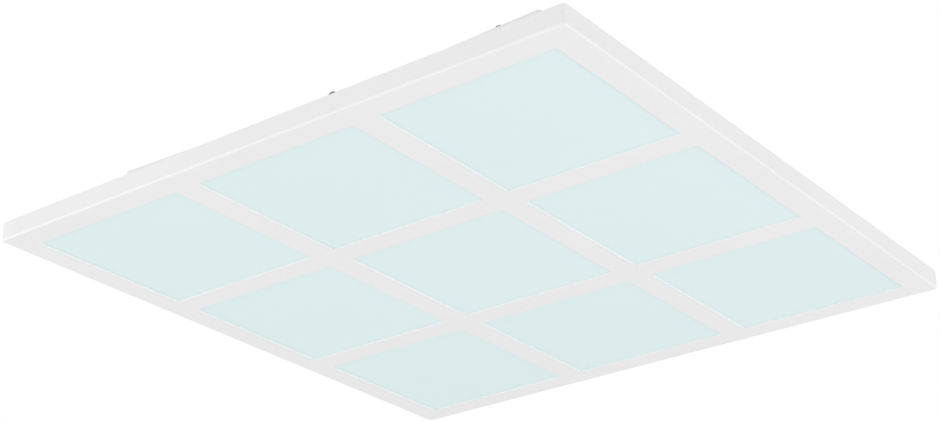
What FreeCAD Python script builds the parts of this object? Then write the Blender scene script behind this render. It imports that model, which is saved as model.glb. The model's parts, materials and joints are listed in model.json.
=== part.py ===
import FreeCAD, Part
import math
import os

# A square LED ceiling panel light in millimetres.
# The ceiling is the plane z = 0 and the light hangs below it.
# The origin is the middle of the ceiling strap's upper face.
# A folded front cover with nine windows carries the diffuser and the LED boards.
# A tray behind it holds the driver and the wiring, and two thumb screws hold the tray to the ceiling strap.

# Front cover
PANEL_SIDE = 595.0
PANEL_HEIGHT = 17.5
CEILING_GAP = 56.0
COVER_SHEET = 1.2
COVER_FOLD_RADIUS = 2.0
COVER_CORNER_RADIUS = 3.5
WINDOWS_PER_SIDE = 3
BORDER_WIDTH = 24.0
BAR_WIDTH = 24.5
WINDOW_CORNER_RADIUS = 1.5

# Diffuser and the rails that clamp it
DIFFUSER_THICK = 2.0
DIFFUSER_OVERLAP = 8.0
GASKET_THICK = 1.0
GASKET_WIDTH = 4.0
RAIL_WALL = 1.5
RAIL_SETBACK = 3.5
RAIL_CLEARANCE = 0.3
STUD_RADIUS = 2.0
STUD_FLANGE_RADIUS = 3.2
STUD_FLANGE_HEIGHT = 0.6
STUD_PAST_NUT = 1.0
NUT_WIDTH = 7.0
NUT_HEIGHT = 3.2

# Back plate and what is riveted under it
BACK_PLATE_SHEET = 0.6
BACK_PLATE_RECESS = 0.5
BACK_PLATE_CLEARANCE = 0.5
BOARD_MARGIN = 8.0
BOARD_THICK = 1.0
BOARD_CORNER_RADIUS = 2.0
LEDS_PER_ROW = 4
LED_MARGIN = 18.0
LED_SIDE = 3.0
LED_HEIGHT = 0.7
LENS_RADIUS = 6.0
LENS_RIM = 1.0
LENS_HEIGHT = 5.0
LENS_CAVITY_RADIUS = 2.6
LENS_CAVITY_HEIGHT = 1.4
REFLECTOR_SHEET = 0.6
REFLECTOR_GAP = 0.5
BOARD_RIVET_INSET = 6.0
BOARD_RIVET_RADIUS = 1.5
BOARD_RIVET_HEAD_RADIUS = 3.2
BOARD_RIVET_HEAD_HEIGHT = 1.2
POST_FOOT_RADIUS = 4.0
POST_TIP_RADIUS = 1.5
POST_STEM_RADIUS = 1.7
POST_GAP = 0.2
HOLE_CLEARANCE = 0.2

# Wiring between the LED boards
CONNECTOR_LENGTH = 8.0
CONNECTOR_WIDTH = 7.0
CONNECTOR_HEIGHT = 3.6
CONNECTOR_EDGE_GAP = 1.0
SOCKET_DEPTH = 3.0
LINK_RADIUS = 0.7
LINK_PITCH = 2.5
LINK_REACH = 3.5
LINK_BEND = 2.0
WIRE_FIT = 0.15

# Base tray
TRAY_INSET = 72.0
TRAY_SHEET = 0.8
TRAY_FOLD_RADIUS = 2.0
TRAY_CORNER_RADIUS = 2.5
RIM_RELIEF = 2.5
RIM_LAND = 3.5
RIM_RAMP = 84.5
TRAY_RIVET_INSET = 14.0
TRAY_RIVET_RADIUS = 1.6
TRAY_RIVET_HEAD_RADIUS = 3.2
TRAY_RIVET_HEAD_HEIGHT = 1.2
TRAY_RIVET_TAIL_RADIUS = 2.6
TRAY_RIVET_TAIL_HEIGHT = 0.8
BUFFER_FROM_CORNER = 39.5
BUFFER_WIDTH = 4.0
BUFFER_LEG = 1.2
BUFFER_HEIGHT = 7.0

# Ceiling strap and its thumb screws
STRAP_SHEET = 1.5
STRAP_WIDTH = 70.0
STRAP_END_GAP = 3.0
STRAP_FLANGE = 10.0
STRAP_EAR = 22.0
STRAP_RELIEF = 12.0
STRAP_FOLD_RADIUS = 2.5
SLOT_SPACING = 200.0
SLOT_LENGTH = 20.0
SLOT_WIDTH = 5.5
SUPPLY_HOLE_RADIUS = 15.0
THUMB_OFFSET = 22.0
THUMB_DROP = 9.3
THUMB_HEAD_RADIUS = 4.5
THUMB_HEAD_LENGTH = 6.0
THUMB_HEAD_CHAMFER = 0.6
THUMB_FLUTES = 16
THUMB_FLUTE_RADIUS = 0.45
THUMB_SHANK_RADIUS = 2.0
THUMB_PAST_BUSH = 2.0
THUMB_CLEARANCE = 0.3
BUSH_RADIUS = 3.2
BUSH_FLANGE_RADIUS = 5.0
BUSH_LENGTH = 6.0
BUSH_FIT = 0.1
BUSH_GAP = 0.2

# Driver case
DRIVER_WIDTH = 62.0
DRIVER_LENGTH = 170.0
DRIVER_BASE_HEIGHT = 22.0
DRIVER_LID_HEIGHT = 8.0
DRIVER_WALL = 2.0
DRIVER_CORNER_RADIUS = 3.0
LID_EDGE_RADIUS = 1.5
LID_LIP_DEPTH = 3.0
LID_LIP_WALL = 1.5
LID_FIT = 0.2
EAR_LENGTH = 12.0
EAR_WIDTH = 14.0
EAR_THICK = 2.5
EAR_OFFSET = 20.0
VENT_COUNT = 9
VENT_PITCH = 6.0
VENT_WIDTH = 2.0
VENT_LENGTH = 40.0

# Driver circuit
CIRCUIT_GAP = 2.0
CIRCUIT_THICK = 1.6
CIRCUIT_POST_RADIUS = 2.5
CIRCUIT_POST_HEIGHT = 4.0
CIRCUIT_POST_INSET = 6.0
CIRCUIT_SPACING = 8.0
CORE_WIDTH = 24.0
CORE_LENGTH = 28.0
CORE_HEIGHT = 16.0
CORE_LIMB = 6.0
COIL_MARGIN = 3.0
COIL_EDGE_RADIUS = 2.5
CHOKE_RADIUS = 8.0
CHOKE_TURN_RADIUS = 3.2
CAPACITOR_COUNT = 3
CAPACITOR_RADIUS = 5.0
CAPACITOR_HEIGHT = 15.0
CAPACITOR_PITCH = 12.5
CAPACITOR_EDGE_RADIUS = 0.8
SOLDER_BLOCK_LENGTH = 10.0
SOLDER_BLOCK_WIDTH = 14.0
SOLDER_BLOCK_HEIGHT = 7.5

# Colour switch in the driver lid
SWITCH_FROM_END = 23.0
SWITCH_TRAVEL = 3.0
SWITCH_KNOB_LENGTH = 5.0
SWITCH_KNOB_WIDTH = 4.0
SWITCH_KNOB_RISE = 1.4
SWITCH_FLANGE_LENGTH = 20.0
SWITCH_FLANGE_WIDTH = 9.0
SWITCH_FLANGE_THICK = 1.2
SWITCH_BODY_LENGTH = 28.0
SWITCH_BODY_WIDTH = 11.0
SWITCH_CLEARANCE = 0.3

# Terminal block
TERMINAL_FROM_WALL = 74.7
TERMINAL_WIDTH = 36.0
TERMINAL_LENGTH = 24.0
TERMINAL_HEIGHT = 18.0
TERMINAL_EDGE_RADIUS = 1.0
TAB_LENGTH = 9.0
TAB_WIDTH = 14.0
TAB_THICK = 2.5
POLE_COUNT = 3
POLE_PITCH = 10.0
POLE_LEVEL = 5.0
SUPPLY_ENTRY_RADIUS = 1.8
ENTRY_DEPTH = 7.0
BUTTON_SETBACK = 8.0
BUTTON_WIDTH = 6.0
BUTTON_LENGTH = 5.0
BUTTON_HEIGHT = 8.0
BUTTON_RISE = 2.0
BUTTON_CLEARANCE = 0.3
BUTTON_EDGE_RADIUS = 0.4
CLIP_SHEET = 0.5
CLIP_WIDTH = 4.0
CLIP_HEIGHT = 3.0

# Wires, grommet, screws and earth stud in the tray
WIRE_RADIUS = 1.2
WIRE_LIFT = 0.8
WIRE_DROP_START = 8.0
WIRE_DROP_RUN = 14.0
WIRE_DROP_BEND = 8.0
WIRE_BEND = 30.0
WIRE_SPACING = 5.0
WIRE_INLET_FROM_END = 15.0
WIRE_RISE_RUN = 22.0
WIRE_RISE_START = 8.0
LEAD_LEVEL = 11.0
LEAD_BEND = 5.0
GROMMET_HOLE_RADIUS = 6.0
GROMMET_FLANGE_RADIUS = 8.0
GROMMET_LOWER_RADIUS = 7.0
GROMMET_FLANGE_HEIGHT = 1.5
GROMMET_LOWER_HEIGHT = 0.8
GROMMET_BORE_RADIUS = 3.2
SCREW_RADIUS = 1.7
SCREW_HEAD_RADIUS = 3.4
SCREW_HEAD_HEIGHT = 2.2
SCREW_HEAD_EDGE_RADIUS = 1.0
SCREW_SLOT_WIDTH = 0.9
SCREW_SLOT_DEPTH = 0.9
EARTH_FROM_WALL = 32.7
EARTH_FROM_TERMINAL = 46.0
EARTH_STUD_HEIGHT = 9.0
EARTH_BEND = 10.0
TAG_RADIUS = 4.4
TAG_THICK = 0.8
TAG_NECK_WIDTH = 3.0
TAG_NECK_LENGTH = 1.5
TAG_BARREL_LENGTH = 7.0
TAG_BARREL_WALL = 0.5
SADDLE_LENGTH = 9.0
SADDLE_MARGIN = 3.0
SADDLE_ROOF = 1.2
RUN_SADDLES = 3
TURN_SADDLES = 2

# Limits for the helpers
FILLET_SHARE = 0.9
TINY = 1e-6

# Levels and places that follow from the sizes above
ORIGIN = FreeCAD.Vector(0, 0, 0)
UP = FreeCAD.Vector(0, 0, 1)
panel_half = PANEL_SIDE / 2
glazed_half = panel_half - BORDER_WIDTH
window_pitch = (2 * glazed_half + BAR_WIDTH) / WINDOWS_PER_SIDE
window_side = window_pitch - BAR_WIDTH
board_side = window_side - 2 * BOARD_MARGIN
led_pitch = (board_side - 2 * LED_MARGIN) / (LEDS_PER_ROW - 1)
grid = [(i - (WINDOWS_PER_SIDE - 1) / 2) * window_pitch for i in range(WINDOWS_PER_SIDE)]
bars = [(low + high) / 2 for low, high in zip(grid, grid[1:])]
board_places = [(x, y) for y in grid for x in grid]

panel_top = -CEILING_GAP
panel_bottom = panel_top - PANEL_HEIGHT
cover_inside = panel_bottom + COVER_SHEET
cover_inner_half = panel_half - COVER_SHEET
diffuser_top = cover_inside + DIFFUSER_THICK
back_plate_top = panel_top - BACK_PLATE_RECESS
back_plate_bottom = back_plate_top - BACK_PLATE_SHEET
board_bottom = back_plate_bottom - BOARD_THICK
reflector_bottom = board_bottom - REFLECTOR_SHEET

cover_bend = max(COVER_FOLD_RADIUS - COVER_SHEET, 0)
rail_outer = cover_inner_half - cover_bend - RAIL_CLEARANCE
rail_start = -cover_inner_half + COVER_CORNER_RADIUS
rail_inner = glazed_half + RAIL_SETBACK
stud_line = (rail_outer + rail_inner) / 2
stud_hole = STUD_RADIUS + HOLE_CLEARANCE
stud_places = [(x, side * stud_line) for x in grid for side in (-1, 1)]
stud_places += [(side * stud_line, y) for y in grid for side in (-1, 1)]

rivet_reach = board_side / 2 - BOARD_RIVET_INSET
rivet_corners = [(i * rivet_reach, j * rivet_reach) for i in (-1, 1) for j in (-1, 1)]
board_rivet_places = [(x + i, y + j) for x, y in board_places for i, j in rivet_corners]
rivet_hole = BOARD_RIVET_RADIUS + HOLE_CLEARANCE
led_steps = [(i - (LEDS_PER_ROW - 1) / 2) * led_pitch for i in range(LEDS_PER_ROW)]
led_places = [(x + i, y + j) for x, y in board_places for i in led_steps for j in led_steps]
post_places = [(x, y) for x in bars for y in bars]
post_hole = POST_STEM_RADIUS + HOLE_CLEARANCE

connector_outer = board_side / 2 - CONNECTOR_EDGE_GAP
connector_middle = connector_outer - CONNECTOR_LENGTH / 2
socket_end = connector_outer - SOCKET_DEPTH
connector_places = [(x + side * connector_middle, y, side) for x, y in board_places for side in (-1, 1)]
link_level = board_bottom - CONNECTOR_HEIGHT / 2
link_offsets = (-LINK_PITCH / 2, LINK_PITCH / 2)

tray_half = panel_half - TRAY_INSET
tray_inner_half = tray_half - TRAY_SHEET
tray_floor = back_plate_top + TRAY_SHEET
rivet_line = tray_half - TRAY_RIVET_INSET
tray_rivet_places = [(bar, side * rivet_line) for bar in bars for side in (-1, 1)]
tray_rivet_places += [(side * rivet_line, bar) for bar in bars for side in (-1, 1)]
strap_half = tray_inner_half - STRAP_END_GAP
thumb_hole = THUMB_SHANK_RADIUS + THUMB_CLEARANCE

lead_x = bars[0]
lead_y = grid[1]
driver_room = (lead_y + GROMMET_FLANGE_RADIUS, rivet_line - TRAY_RIVET_HEAD_RADIUS)
driver_middle = sum(driver_room) / 2
driver_front = driver_middle - DRIVER_LENGTH / 2
driver_back = driver_middle + DRIVER_LENGTH / 2
driver_side = lead_x + DRIVER_WIDTH / 2
driver_rim = tray_floor + DRIVER_BASE_HEIGHT
driver_top = driver_rim + DRIVER_LID_HEIGHT
lid_ceiling = driver_top - DRIVER_WALL
circuit_bottom = tray_floor + DRIVER_WALL + CIRCUIT_POST_HEIGHT
circuit_top = circuit_bottom + CIRCUIT_THICK
circuit_inset = DRIVER_WALL + CIRCUIT_GAP
circuit_width = DRIVER_WIDTH - 2 * circuit_inset
circuit_length = DRIVER_LENGTH - 2 * circuit_inset
lead_level = tray_floor + LEAD_LEVEL
inlet_y = driver_back - WIRE_INLET_FROM_END
switch_y = driver_back - SWITCH_FROM_END
solder_front = driver_front + circuit_inset
choke_y = solder_front + SOLDER_BLOCK_LENGTH + CIRCUIT_SPACING + CHOKE_RADIUS + CHOKE_TURN_RADIUS
capacitor_y = switch_y - SWITCH_BODY_LENGTH / 2 - CIRCUIT_SPACING - CAPACITOR_RADIUS
slider_top = lid_ceiling - SWITCH_CLEARANCE
slider_bottom = slider_top - SWITCH_FLANGE_THICK

pole_level = tray_floor + POLE_LEVEL
terminal_top = tray_floor + TERMINAL_HEIGHT
terminal_x = tray_inner_half - TERMINAL_FROM_WALL
terminal_y = -tray_inner_half + TERMINAL_FROM_WALL
terminal_front = terminal_y - TERMINAL_LENGTH / 2
terminal_back = terminal_y + TERMINAL_LENGTH / 2
wire_end = terminal_back - ENTRY_DEPTH
poles = [terminal_x + (i - (POLE_COUNT - 1) / 2) * POLE_PITCH for i in range(POLE_COUNT)]
button_y = terminal_front + BUTTON_SETBACK
button_bottom = terminal_top + BUTTON_RISE - BUTTON_HEIGHT
well_bottom = pole_level - SUPPLY_ENTRY_RADIUS
wire_level = tray_floor + WIRE_LIFT + WIRE_RADIUS
tag_level = tray_floor + WIRE_RADIUS + WIRE_FIT + TAG_BARREL_WALL
earth_x = tray_inner_half - EARTH_FROM_WALL
earth_y = terminal_back + EARTH_FROM_TERMINAL
tag_mouth = earth_x - TAG_RADIUS - TAG_NECK_LENGTH - TAG_BARREL_LENGTH

ear_places = [
    (lead_x - EAR_OFFSET, driver_front - EAR_LENGTH / 2),
    (lead_x + EAR_OFFSET, driver_back + EAR_LENGTH / 2),
]
tab_reach = (TERMINAL_WIDTH + TAB_LENGTH) / 2
tab_places = [(terminal_x - tab_reach, terminal_y), (terminal_x + tab_reach, terminal_y)]
screw_hole = SCREW_RADIUS + HOLE_CLEARANCE

# Small helpers


def vector(x, y, z):
    return FreeCAD.Vector(x, y, z)


def box(low, high):
    size = vector(*high) - vector(*low)
    return Part.makeBox(size.x, size.y, size.z, vector(*low))


def block(x, y, size_x, size_y, bottom, top):
    return box((x - size_x / 2, y - size_y / 2, bottom), (x + size_x / 2, y + size_y / 2, top))


def disc(x, y, radius, bottom, top):
    return Part.makeCylinder(radius, top - bottom, vector(x, y, bottom))


def rod_x(y, z, radius, start, end):
    return Part.makeCylinder(radius, end - start, vector(start, y, z), vector(1, 0, 0))


def rod_y(x, z, radius, start, end):
    return Part.makeCylinder(radius, end - start, vector(x, start, z), vector(0, 1, 0))


def turned(shape, angle):
    copy = shape.copy()
    copy.rotate(ORIGIN, UP, angle)
    return copy


def four_turns(shape):
    return Part.makeCompound([turned(shape, 90 * i) for i in range(4)])


def joined(shapes):
    return shapes[0].multiFuse(shapes[1:]).removeSplitter()


def corner_arc(before, corner, after, radius):
    into = (corner - before).normalize()
    out = (after - corner).normalize()
    half_turn = into.getAngle(out) / 2
    setback = radius * math.tan(half_turn)
    inward = (out - into).normalize()
    middle = corner + inward * (radius / math.cos(half_turn) - radius)
    return corner - into * setback, middle, corner + out * setback


def outline(corners, radii):
    count = len(corners)
    followers = corners[1:] + corners[:1]
    arcs = [corner_arc(corners[i - 1], corners[i], followers[i], radii[i]) for i in range(count)]
    edges = []
    for i, (first, middle, last) in enumerate(arcs):
        if radii[i] > 0:
            edges.append(Part.Arc(first, middle, last).toShape())
        following = arcs[(i + 1) % count][0]
        if last.distanceToPoint(following) > TINY:
            edges.append(Part.LineSegment(last, following).toShape())
    return Part.Wire(edges)


def rectangle(x, y, size_x, size_y, radius, z):
    left, right = x - size_x / 2, x + size_x / 2
    front, back = y - size_y / 2, y + size_y / 2
    corners = [(left, front), (right, front), (right, back), (left, back)]
    return outline([vector(i, j, z) for i, j in corners], [max(radius, 0)] * 4)


def circle(x, y, radius, z):
    return Part.Wire([Part.makeCircle(radius, vector(x, y, z), UP)])


def circles(places, radius, z):
    return [circle(x, y, radius, z) for x, y in places]


def sheet(outer, holes, thickness):
    face = Part.makeFace([outer] + holes, "Part::FaceMakerBullseye")
    return face.extrude(vector(0, 0, thickness))


def section_run(points, radii, run):
    return Part.Face(outline(points, radii)).extrude(run)


def edges_at_height(shape, z):
    boxes = [(edge, edge.BoundBox) for edge in shape.Edges]
    return [edge for edge, size in boxes if abs(size.ZMin - z) + abs(size.ZMax - z) < TINY]


def rounded_block(side, corner_radius, fold_radius, bottom, top):
    solid = sheet(rectangle(0, 0, side, side, corner_radius, bottom), [], top - bottom)
    if fold_radius <= 0:
        return solid
    return solid.makeFillet(fold_radius, edges_at_height(solid, bottom))


def folded_tray(side, wall, corner_radius, fold_radius, bottom, top):
    fold = min(fold_radius, FILLET_SHARE * corner_radius)
    outside = rounded_block(side, corner_radius, fold, bottom, top)
    inner_corner = max(corner_radius - wall, 0)
    inner_fold = min(fold - wall, FILLET_SHARE * inner_corner)
    inside = rounded_block(side - 2 * wall, inner_corner, inner_fold, bottom + wall, top)
    return outside.cut(inside)


def wire_along(points, bends, radius):
    points = [vector(*point) for point in points]
    edges = []
    start = points[0]
    for before, corner, after, bend in zip(points, points[1:], points[2:], bends):
        first, middle, last = corner_arc(before, corner, after, bend)
        edges.append(Part.LineSegment(start, first).toShape())
        edges.append(Part.Arc(first, middle, last).toShape())
        start = last
    edges.append(Part.LineSegment(start, points[-1]).toShape())
    profile = Part.Wire([Part.makeCircle(radius, points[0], points[1] - points[0])])
    return Part.Wire(edges).makePipeShell([profile], True, False)


def hexagon_nut(x, y, bottom):
    reach = NUT_WIDTH / math.sqrt(3)
    angles = [math.radians(60 * i) for i in range(6)]
    points = [vector(x + reach * math.cos(a), y + reach * math.sin(a), bottom) for a in angles]
    nut = section_run(points, [0] * 6, vector(0, 0, NUT_HEIGHT))
    return nut.cut(disc(x, y, stud_hole, bottom, bottom + NUT_HEIGHT))


def slotted_screw(x, y, seat):
    head_top = seat + SCREW_HEAD_HEIGHT
    head = disc(x, y, SCREW_HEAD_RADIUS, seat, head_top)
    head = head.makeFillet(SCREW_HEAD_EDGE_RADIUS, edges_at_height(head, head_top))
    slot = block(x, y, 2 * SCREW_HEAD_RADIUS, SCREW_SLOT_WIDTH, head_top - SCREW_SLOT_DEPTH, head_top)
    return joined([head.cut(slot), disc(x, y, SCREW_RADIUS, back_plate_bottom, seat)])


# Front cover, diffuser and clamp rails


def front_cover():
    corner, fold = COVER_CORNER_RADIUS, COVER_FOLD_RADIUS
    tray = folded_tray(PANEL_SIDE, COVER_SHEET, corner, fold, panel_bottom, panel_top)
    windows = []
    for x, y in board_places:
        window = rectangle(x, y, window_side, window_side, WINDOW_CORNER_RADIUS, panel_bottom)
        windows.append(sheet(window, [], COVER_SHEET))
    return tray.cut(Part.makeCompound(windows))


def diffuser_sheet():
    side = 2 * (glazed_half + DIFFUSER_OVERLAP)
    return block(0, 0, side, side, cover_inside, diffuser_top)


def clamp_rail():
    leg_bottom = diffuser_top + GASKET_THICK
    flange_bottom = back_plate_bottom - RAIL_WALL
    section = [
        (-rail_outer, cover_inside),
        (-rail_outer, back_plate_bottom),
        (-rail_inner, back_plate_bottom),
        (-rail_inner, leg_bottom),
        (-rail_inner - RAIL_WALL, leg_bottom),
        (-rail_inner - RAIL_WALL, flange_bottom),
        (-rail_outer + RAIL_WALL, flange_bottom),
        (-rail_outer + RAIL_WALL, cover_inside),
    ]
    length = rail_inner - RAIL_CLEARANCE - rail_start
    points = [vector(rail_start, y, z) for y, z in section]
    rail = section_run(points, [0] * len(points), vector(length, 0, 0))
    holes = [disc(x, -stud_line, stud_hole, flange_bottom, back_plate_bottom) for x in grid]
    return rail.cut(Part.makeCompound(holes))


def gasket_strips():
    middle = rail_inner + RAIL_WALL / 2
    outer = middle + GASKET_WIDTH / 2
    inner = middle - GASKET_WIDTH / 2
    return four_turns(box((-outer, -outer, diffuser_top), (inner, -inner, diffuser_top + GASKET_THICK)))


def cover_studs():
    flange_top = cover_inside + STUD_FLANGE_HEIGHT
    stud_top = back_plate_top + NUT_HEIGHT + STUD_PAST_NUT
    studs = []
    for x, y in stud_places:
        flange = disc(x, y, STUD_FLANGE_RADIUS, cover_inside, flange_top)
        studs.append(joined([flange, disc(x, y, STUD_RADIUS, flange_top, stud_top)]))
    return Part.makeCompound(studs)


def cover_nuts():
    return Part.makeCompound([hexagon_nut(x, y, back_plate_top) for x, y in stud_places])


# Back plate, LED boards and reflector


def floor_holes(z):
    holes = [circle(lead_x, lead_y, GROMMET_HOLE_RADIUS, z)]
    holes += circles(tray_rivet_places, TRAY_RIVET_RADIUS + HOLE_CLEARANCE, z)
    return holes + circles(ear_places + tab_places, screw_hole, z)


def back_plate():
    z = back_plate_bottom
    side = 2 * (cover_inner_half - BACK_PLATE_CLEARANCE)
    holes = floor_holes(z) + circles(stud_places, stud_hole, z)
    holes += circles(board_rivet_places, rivet_hole, z) + circles(post_places, post_hole, z)
    return sheet(rectangle(0, 0, side, side, COVER_CORNER_RADIUS - COVER_SHEET, z), holes, BACK_PLATE_SHEET)


def led_board(x, y):
    z = board_bottom
    holes = circles([(x + i, y + j) for i, j in rivet_corners], rivet_hole, z)
    return sheet(rectangle(x, y, board_side, board_side, BOARD_CORNER_RADIUS, z), holes, BOARD_THICK)


def led_chips():
    bottom = board_bottom - LED_HEIGHT
    chips = [block(x, y, LED_SIDE, LED_SIDE, bottom, board_bottom) for x, y in led_places]
    return Part.makeCompound(chips)


def lens():
    dome = LENS_HEIGHT - LENS_RIM
    ball = (LENS_RADIUS**2 + dome**2) / (2 * dome)
    lean = math.asin(LENS_RADIUS / ball) / 2
    cavity_edge = vector(LENS_CAVITY_RADIUS, 0, 0)
    cavity_top = vector(LENS_CAVITY_RADIUS, 0, -LENS_CAVITY_HEIGHT)
    cavity_middle = vector(0, 0, -LENS_CAVITY_HEIGHT)
    foot = vector(LENS_RADIUS, 0, 0)
    rim = vector(LENS_RADIUS, 0, -LENS_RIM)
    shoulder = vector(ball * math.sin(lean), 0, ball - LENS_HEIGHT - ball * math.cos(lean))
    tip = vector(0, 0, -LENS_HEIGHT)
    edges = [
        Part.LineSegment(cavity_edge, foot).toShape(),
        Part.LineSegment(foot, rim).toShape(),
        Part.Arc(rim, shoulder, tip).toShape(),
        Part.LineSegment(tip, cavity_middle).toShape(),
        Part.LineSegment(cavity_middle, cavity_top).toShape(),
        Part.LineSegment(cavity_top, cavity_edge).toShape(),
    ]
    return Part.Face(Part.Wire(edges)).revolve(ORIGIN, UP, 360)


def led_lenses():
    pattern = lens()
    lenses = []
    for x, y in led_places:
        copy = pattern.copy()
        copy.translate(vector(x, y, board_bottom))
        lenses.append(copy)
    return Part.makeCompound(lenses)


def reflector_sheet():
    z = reflector_bottom
    side = 2 * (rail_inner - REFLECTOR_GAP)
    length = CONNECTOR_LENGTH + 2 * REFLECTOR_GAP
    width = CONNECTOR_WIDTH + 2 * REFLECTOR_GAP
    holes = circles(led_places, LENS_RADIUS + REFLECTOR_GAP, z)
    holes += [rectangle(x, y, length, width, 0, z) for x, y, mouth in connector_places]
    holes += circles(board_rivet_places, rivet_hole, z) + circles(post_places, post_hole, z)
    holes.append(circle(lead_x, lead_y, GROMMET_FLANGE_RADIUS, z))
    return sheet(rectangle(0, 0, side, side, 0, z), holes, REFLECTOR_SHEET)


def board_rivets():
    head_bottom = reflector_bottom - BOARD_RIVET_HEAD_HEIGHT
    rivets = []
    for x, y in board_rivet_places:
        head = disc(x, y, BOARD_RIVET_HEAD_RADIUS, head_bottom, reflector_bottom)
        rivets.append(joined([head, disc(x, y, BOARD_RIVET_RADIUS, reflector_bottom, back_plate_top)]))
    return Part.makeCompound(rivets)


def diffuser_posts():
    tip = diffuser_top + POST_GAP
    posts = []
    for x, y in post_places:
        cone = Part.makeCone(POST_TIP_RADIUS, POST_FOOT_RADIUS, reflector_bottom - tip, vector(x, y, tip))
        posts.append(joined([cone, disc(x, y, POST_STEM_RADIUS, reflector_bottom, back_plate_top)]))
    return Part.makeCompound(posts)


# Wiring between the LED boards


def board_connectors():
    bottom = board_bottom - CONNECTOR_HEIGHT
    connectors = []
    for x, y, side in connector_places:
        body = block(x, y, CONNECTOR_LENGTH, CONNECTOR_WIDTH, bottom, board_bottom)
        mouth = x + side * CONNECTOR_LENGTH / 2
        ends = sorted((mouth, mouth - side * SOCKET_DEPTH))
        sockets = [rod_x(y + offset, link_level, LINK_RADIUS + WIRE_FIT, *ends) for offset in link_offsets]
        connectors.append(body.cut(Part.makeCompound(sockets)))
    return Part.makeCompound(connectors)


def straight_link(x, y):
    start = x + socket_end
    end = x + window_pitch - socket_end
    return [rod_x(y + offset, link_level, LINK_RADIUS, start, end) for offset in link_offsets]


def side_link(x, side, y_low, y_high):
    wires = []
    for spread, reach in zip(link_offsets, (LINK_REACH, LINK_REACH + LINK_PITCH)):
        start = x + side * socket_end
        turn = x + side * (connector_outer + reach)
        low, high = y_low - spread, y_high + spread
        route = [(start, low), (turn, low), (turn, high), (start, high)]
        wires.append(wire_along([(i, j, link_level) for i, j in route], [LINK_BEND] * 2, LINK_RADIUS))
    return wires


def board_links():
    links = straight_link(grid[1], grid[1])
    for x in grid[:-1]:
        links += straight_link(x, grid[0]) + straight_link(x, grid[-1])
    links += side_link(grid[-1], 1, grid[1], grid[-1])
    links += side_link(grid[0], -1, grid[0], grid[1])
    return Part.makeCompound(links)


def led_wires(offset):
    solder_end = solder_front + SOCKET_DEPTH
    y = lead_y + offset
    wires = []
    for board_x, side in ((grid[1], -1), (grid[0], 1)):
        x = lead_x - side * LINK_PITCH / 2
        route = [
            (x, solder_end, lead_level - offset),
            (x, y, lead_level - offset),
            (x, y, link_level),
            (board_x + side * socket_end, y, link_level),
        ]
        wires.append(wire_along(route, [LEAD_BEND, LINK_BEND], LINK_RADIUS))
    return Part.makeCompound(wires)


# Base tray and ceiling strap


def rim_relief():
    top = tray_half - RIM_LAND
    foot = top - RIM_RAMP
    points = [(-top, 0), (-foot, -RIM_RELIEF), (foot, -RIM_RELIEF), (top, 0)]
    corners = [vector(x, -tray_half, z) for x, z in points]
    return four_turns(section_run(corners, [0] * 4, vector(0, TRAY_SHEET, 0)))


def base_tray():
    corner, fold = TRAY_CORNER_RADIUS, TRAY_FOLD_RADIUS
    tray = folded_tray(2 * tray_half, TRAY_SHEET, corner, fold, back_plate_top, 0)
    cuts = [sheet(hole, [], TRAY_SHEET) for hole in floor_holes(back_plate_top)]
    hole = rod_y(THUMB_OFFSET, -THUMB_DROP, thumb_hole, -tray_half, -tray_inner_half)
    cuts += [hole, turned(hole, 180)]
    return tray.cut(rim_relief()).cut(Part.makeCompound(cuts))


def tray_rivets():
    tail_bottom = back_plate_bottom - TRAY_RIVET_TAIL_HEIGHT
    rivets = []
    for x, y in tray_rivet_places:
        head = disc(x, y, TRAY_RIVET_HEAD_RADIUS, tray_floor, tray_floor + TRAY_RIVET_HEAD_HEIGHT)
        shank = disc(x, y, TRAY_RIVET_RADIUS, back_plate_bottom, tray_floor)
        tail = disc(x, y, TRAY_RIVET_TAIL_RADIUS, tail_bottom, back_plate_bottom)
        rivets.append(joined([head, shank, tail]))
    return Part.makeCompound(rivets)


def rim_buffers(tray):
    x = tray_half - BUFFER_FROM_CORNER
    left, right = x - BUFFER_WIDTH / 2, x + BUFFER_WIDTH / 2
    pad = box((left, -tray_half, -BUFFER_HEIGHT), (right, -tray_inner_half + BUFFER_LEG, 0))
    return four_turns(pad.cut(tray))


def lead_grommet():
    flange_top = tray_floor + GROMMET_FLANGE_HEIGHT
    bottom = back_plate_bottom - GROMMET_LOWER_HEIGHT
    body = joined([
        disc(lead_x, lead_y, GROMMET_FLANGE_RADIUS, tray_floor, flange_top),
        disc(lead_x, lead_y, GROMMET_HOLE_RADIUS - HOLE_CLEARANCE, back_plate_bottom, tray_floor),
        disc(lead_x, lead_y, GROMMET_LOWER_RADIUS, bottom, back_plate_bottom),
    ])
    return body.cut(disc(lead_x, lead_y, GROMMET_BORE_RADIUS, bottom, flange_top))


def strap_channel():
    half = STRAP_WIDTH / 2
    start = -strap_half + STRAP_RELIEF
    fold = STRAP_FOLD_RADIUS
    bend = max(STRAP_FOLD_RADIUS - STRAP_SHEET, 0)
    points = [
        (-half, 0), (half, 0), (half, -STRAP_FLANGE), (half - STRAP_SHEET, -STRAP_FLANGE),
        (half - STRAP_SHEET, -STRAP_SHEET), (-half + STRAP_SHEET, -STRAP_SHEET),
        (-half + STRAP_SHEET, -STRAP_FLANGE), (-half, -STRAP_FLANGE),
    ]
    corners = [vector(x, start, z) for x, z in points]
    return section_run(corners, [fold, fold, 0, 0, bend, bend, 0, 0], vector(0, -2 * start, 0))


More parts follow.
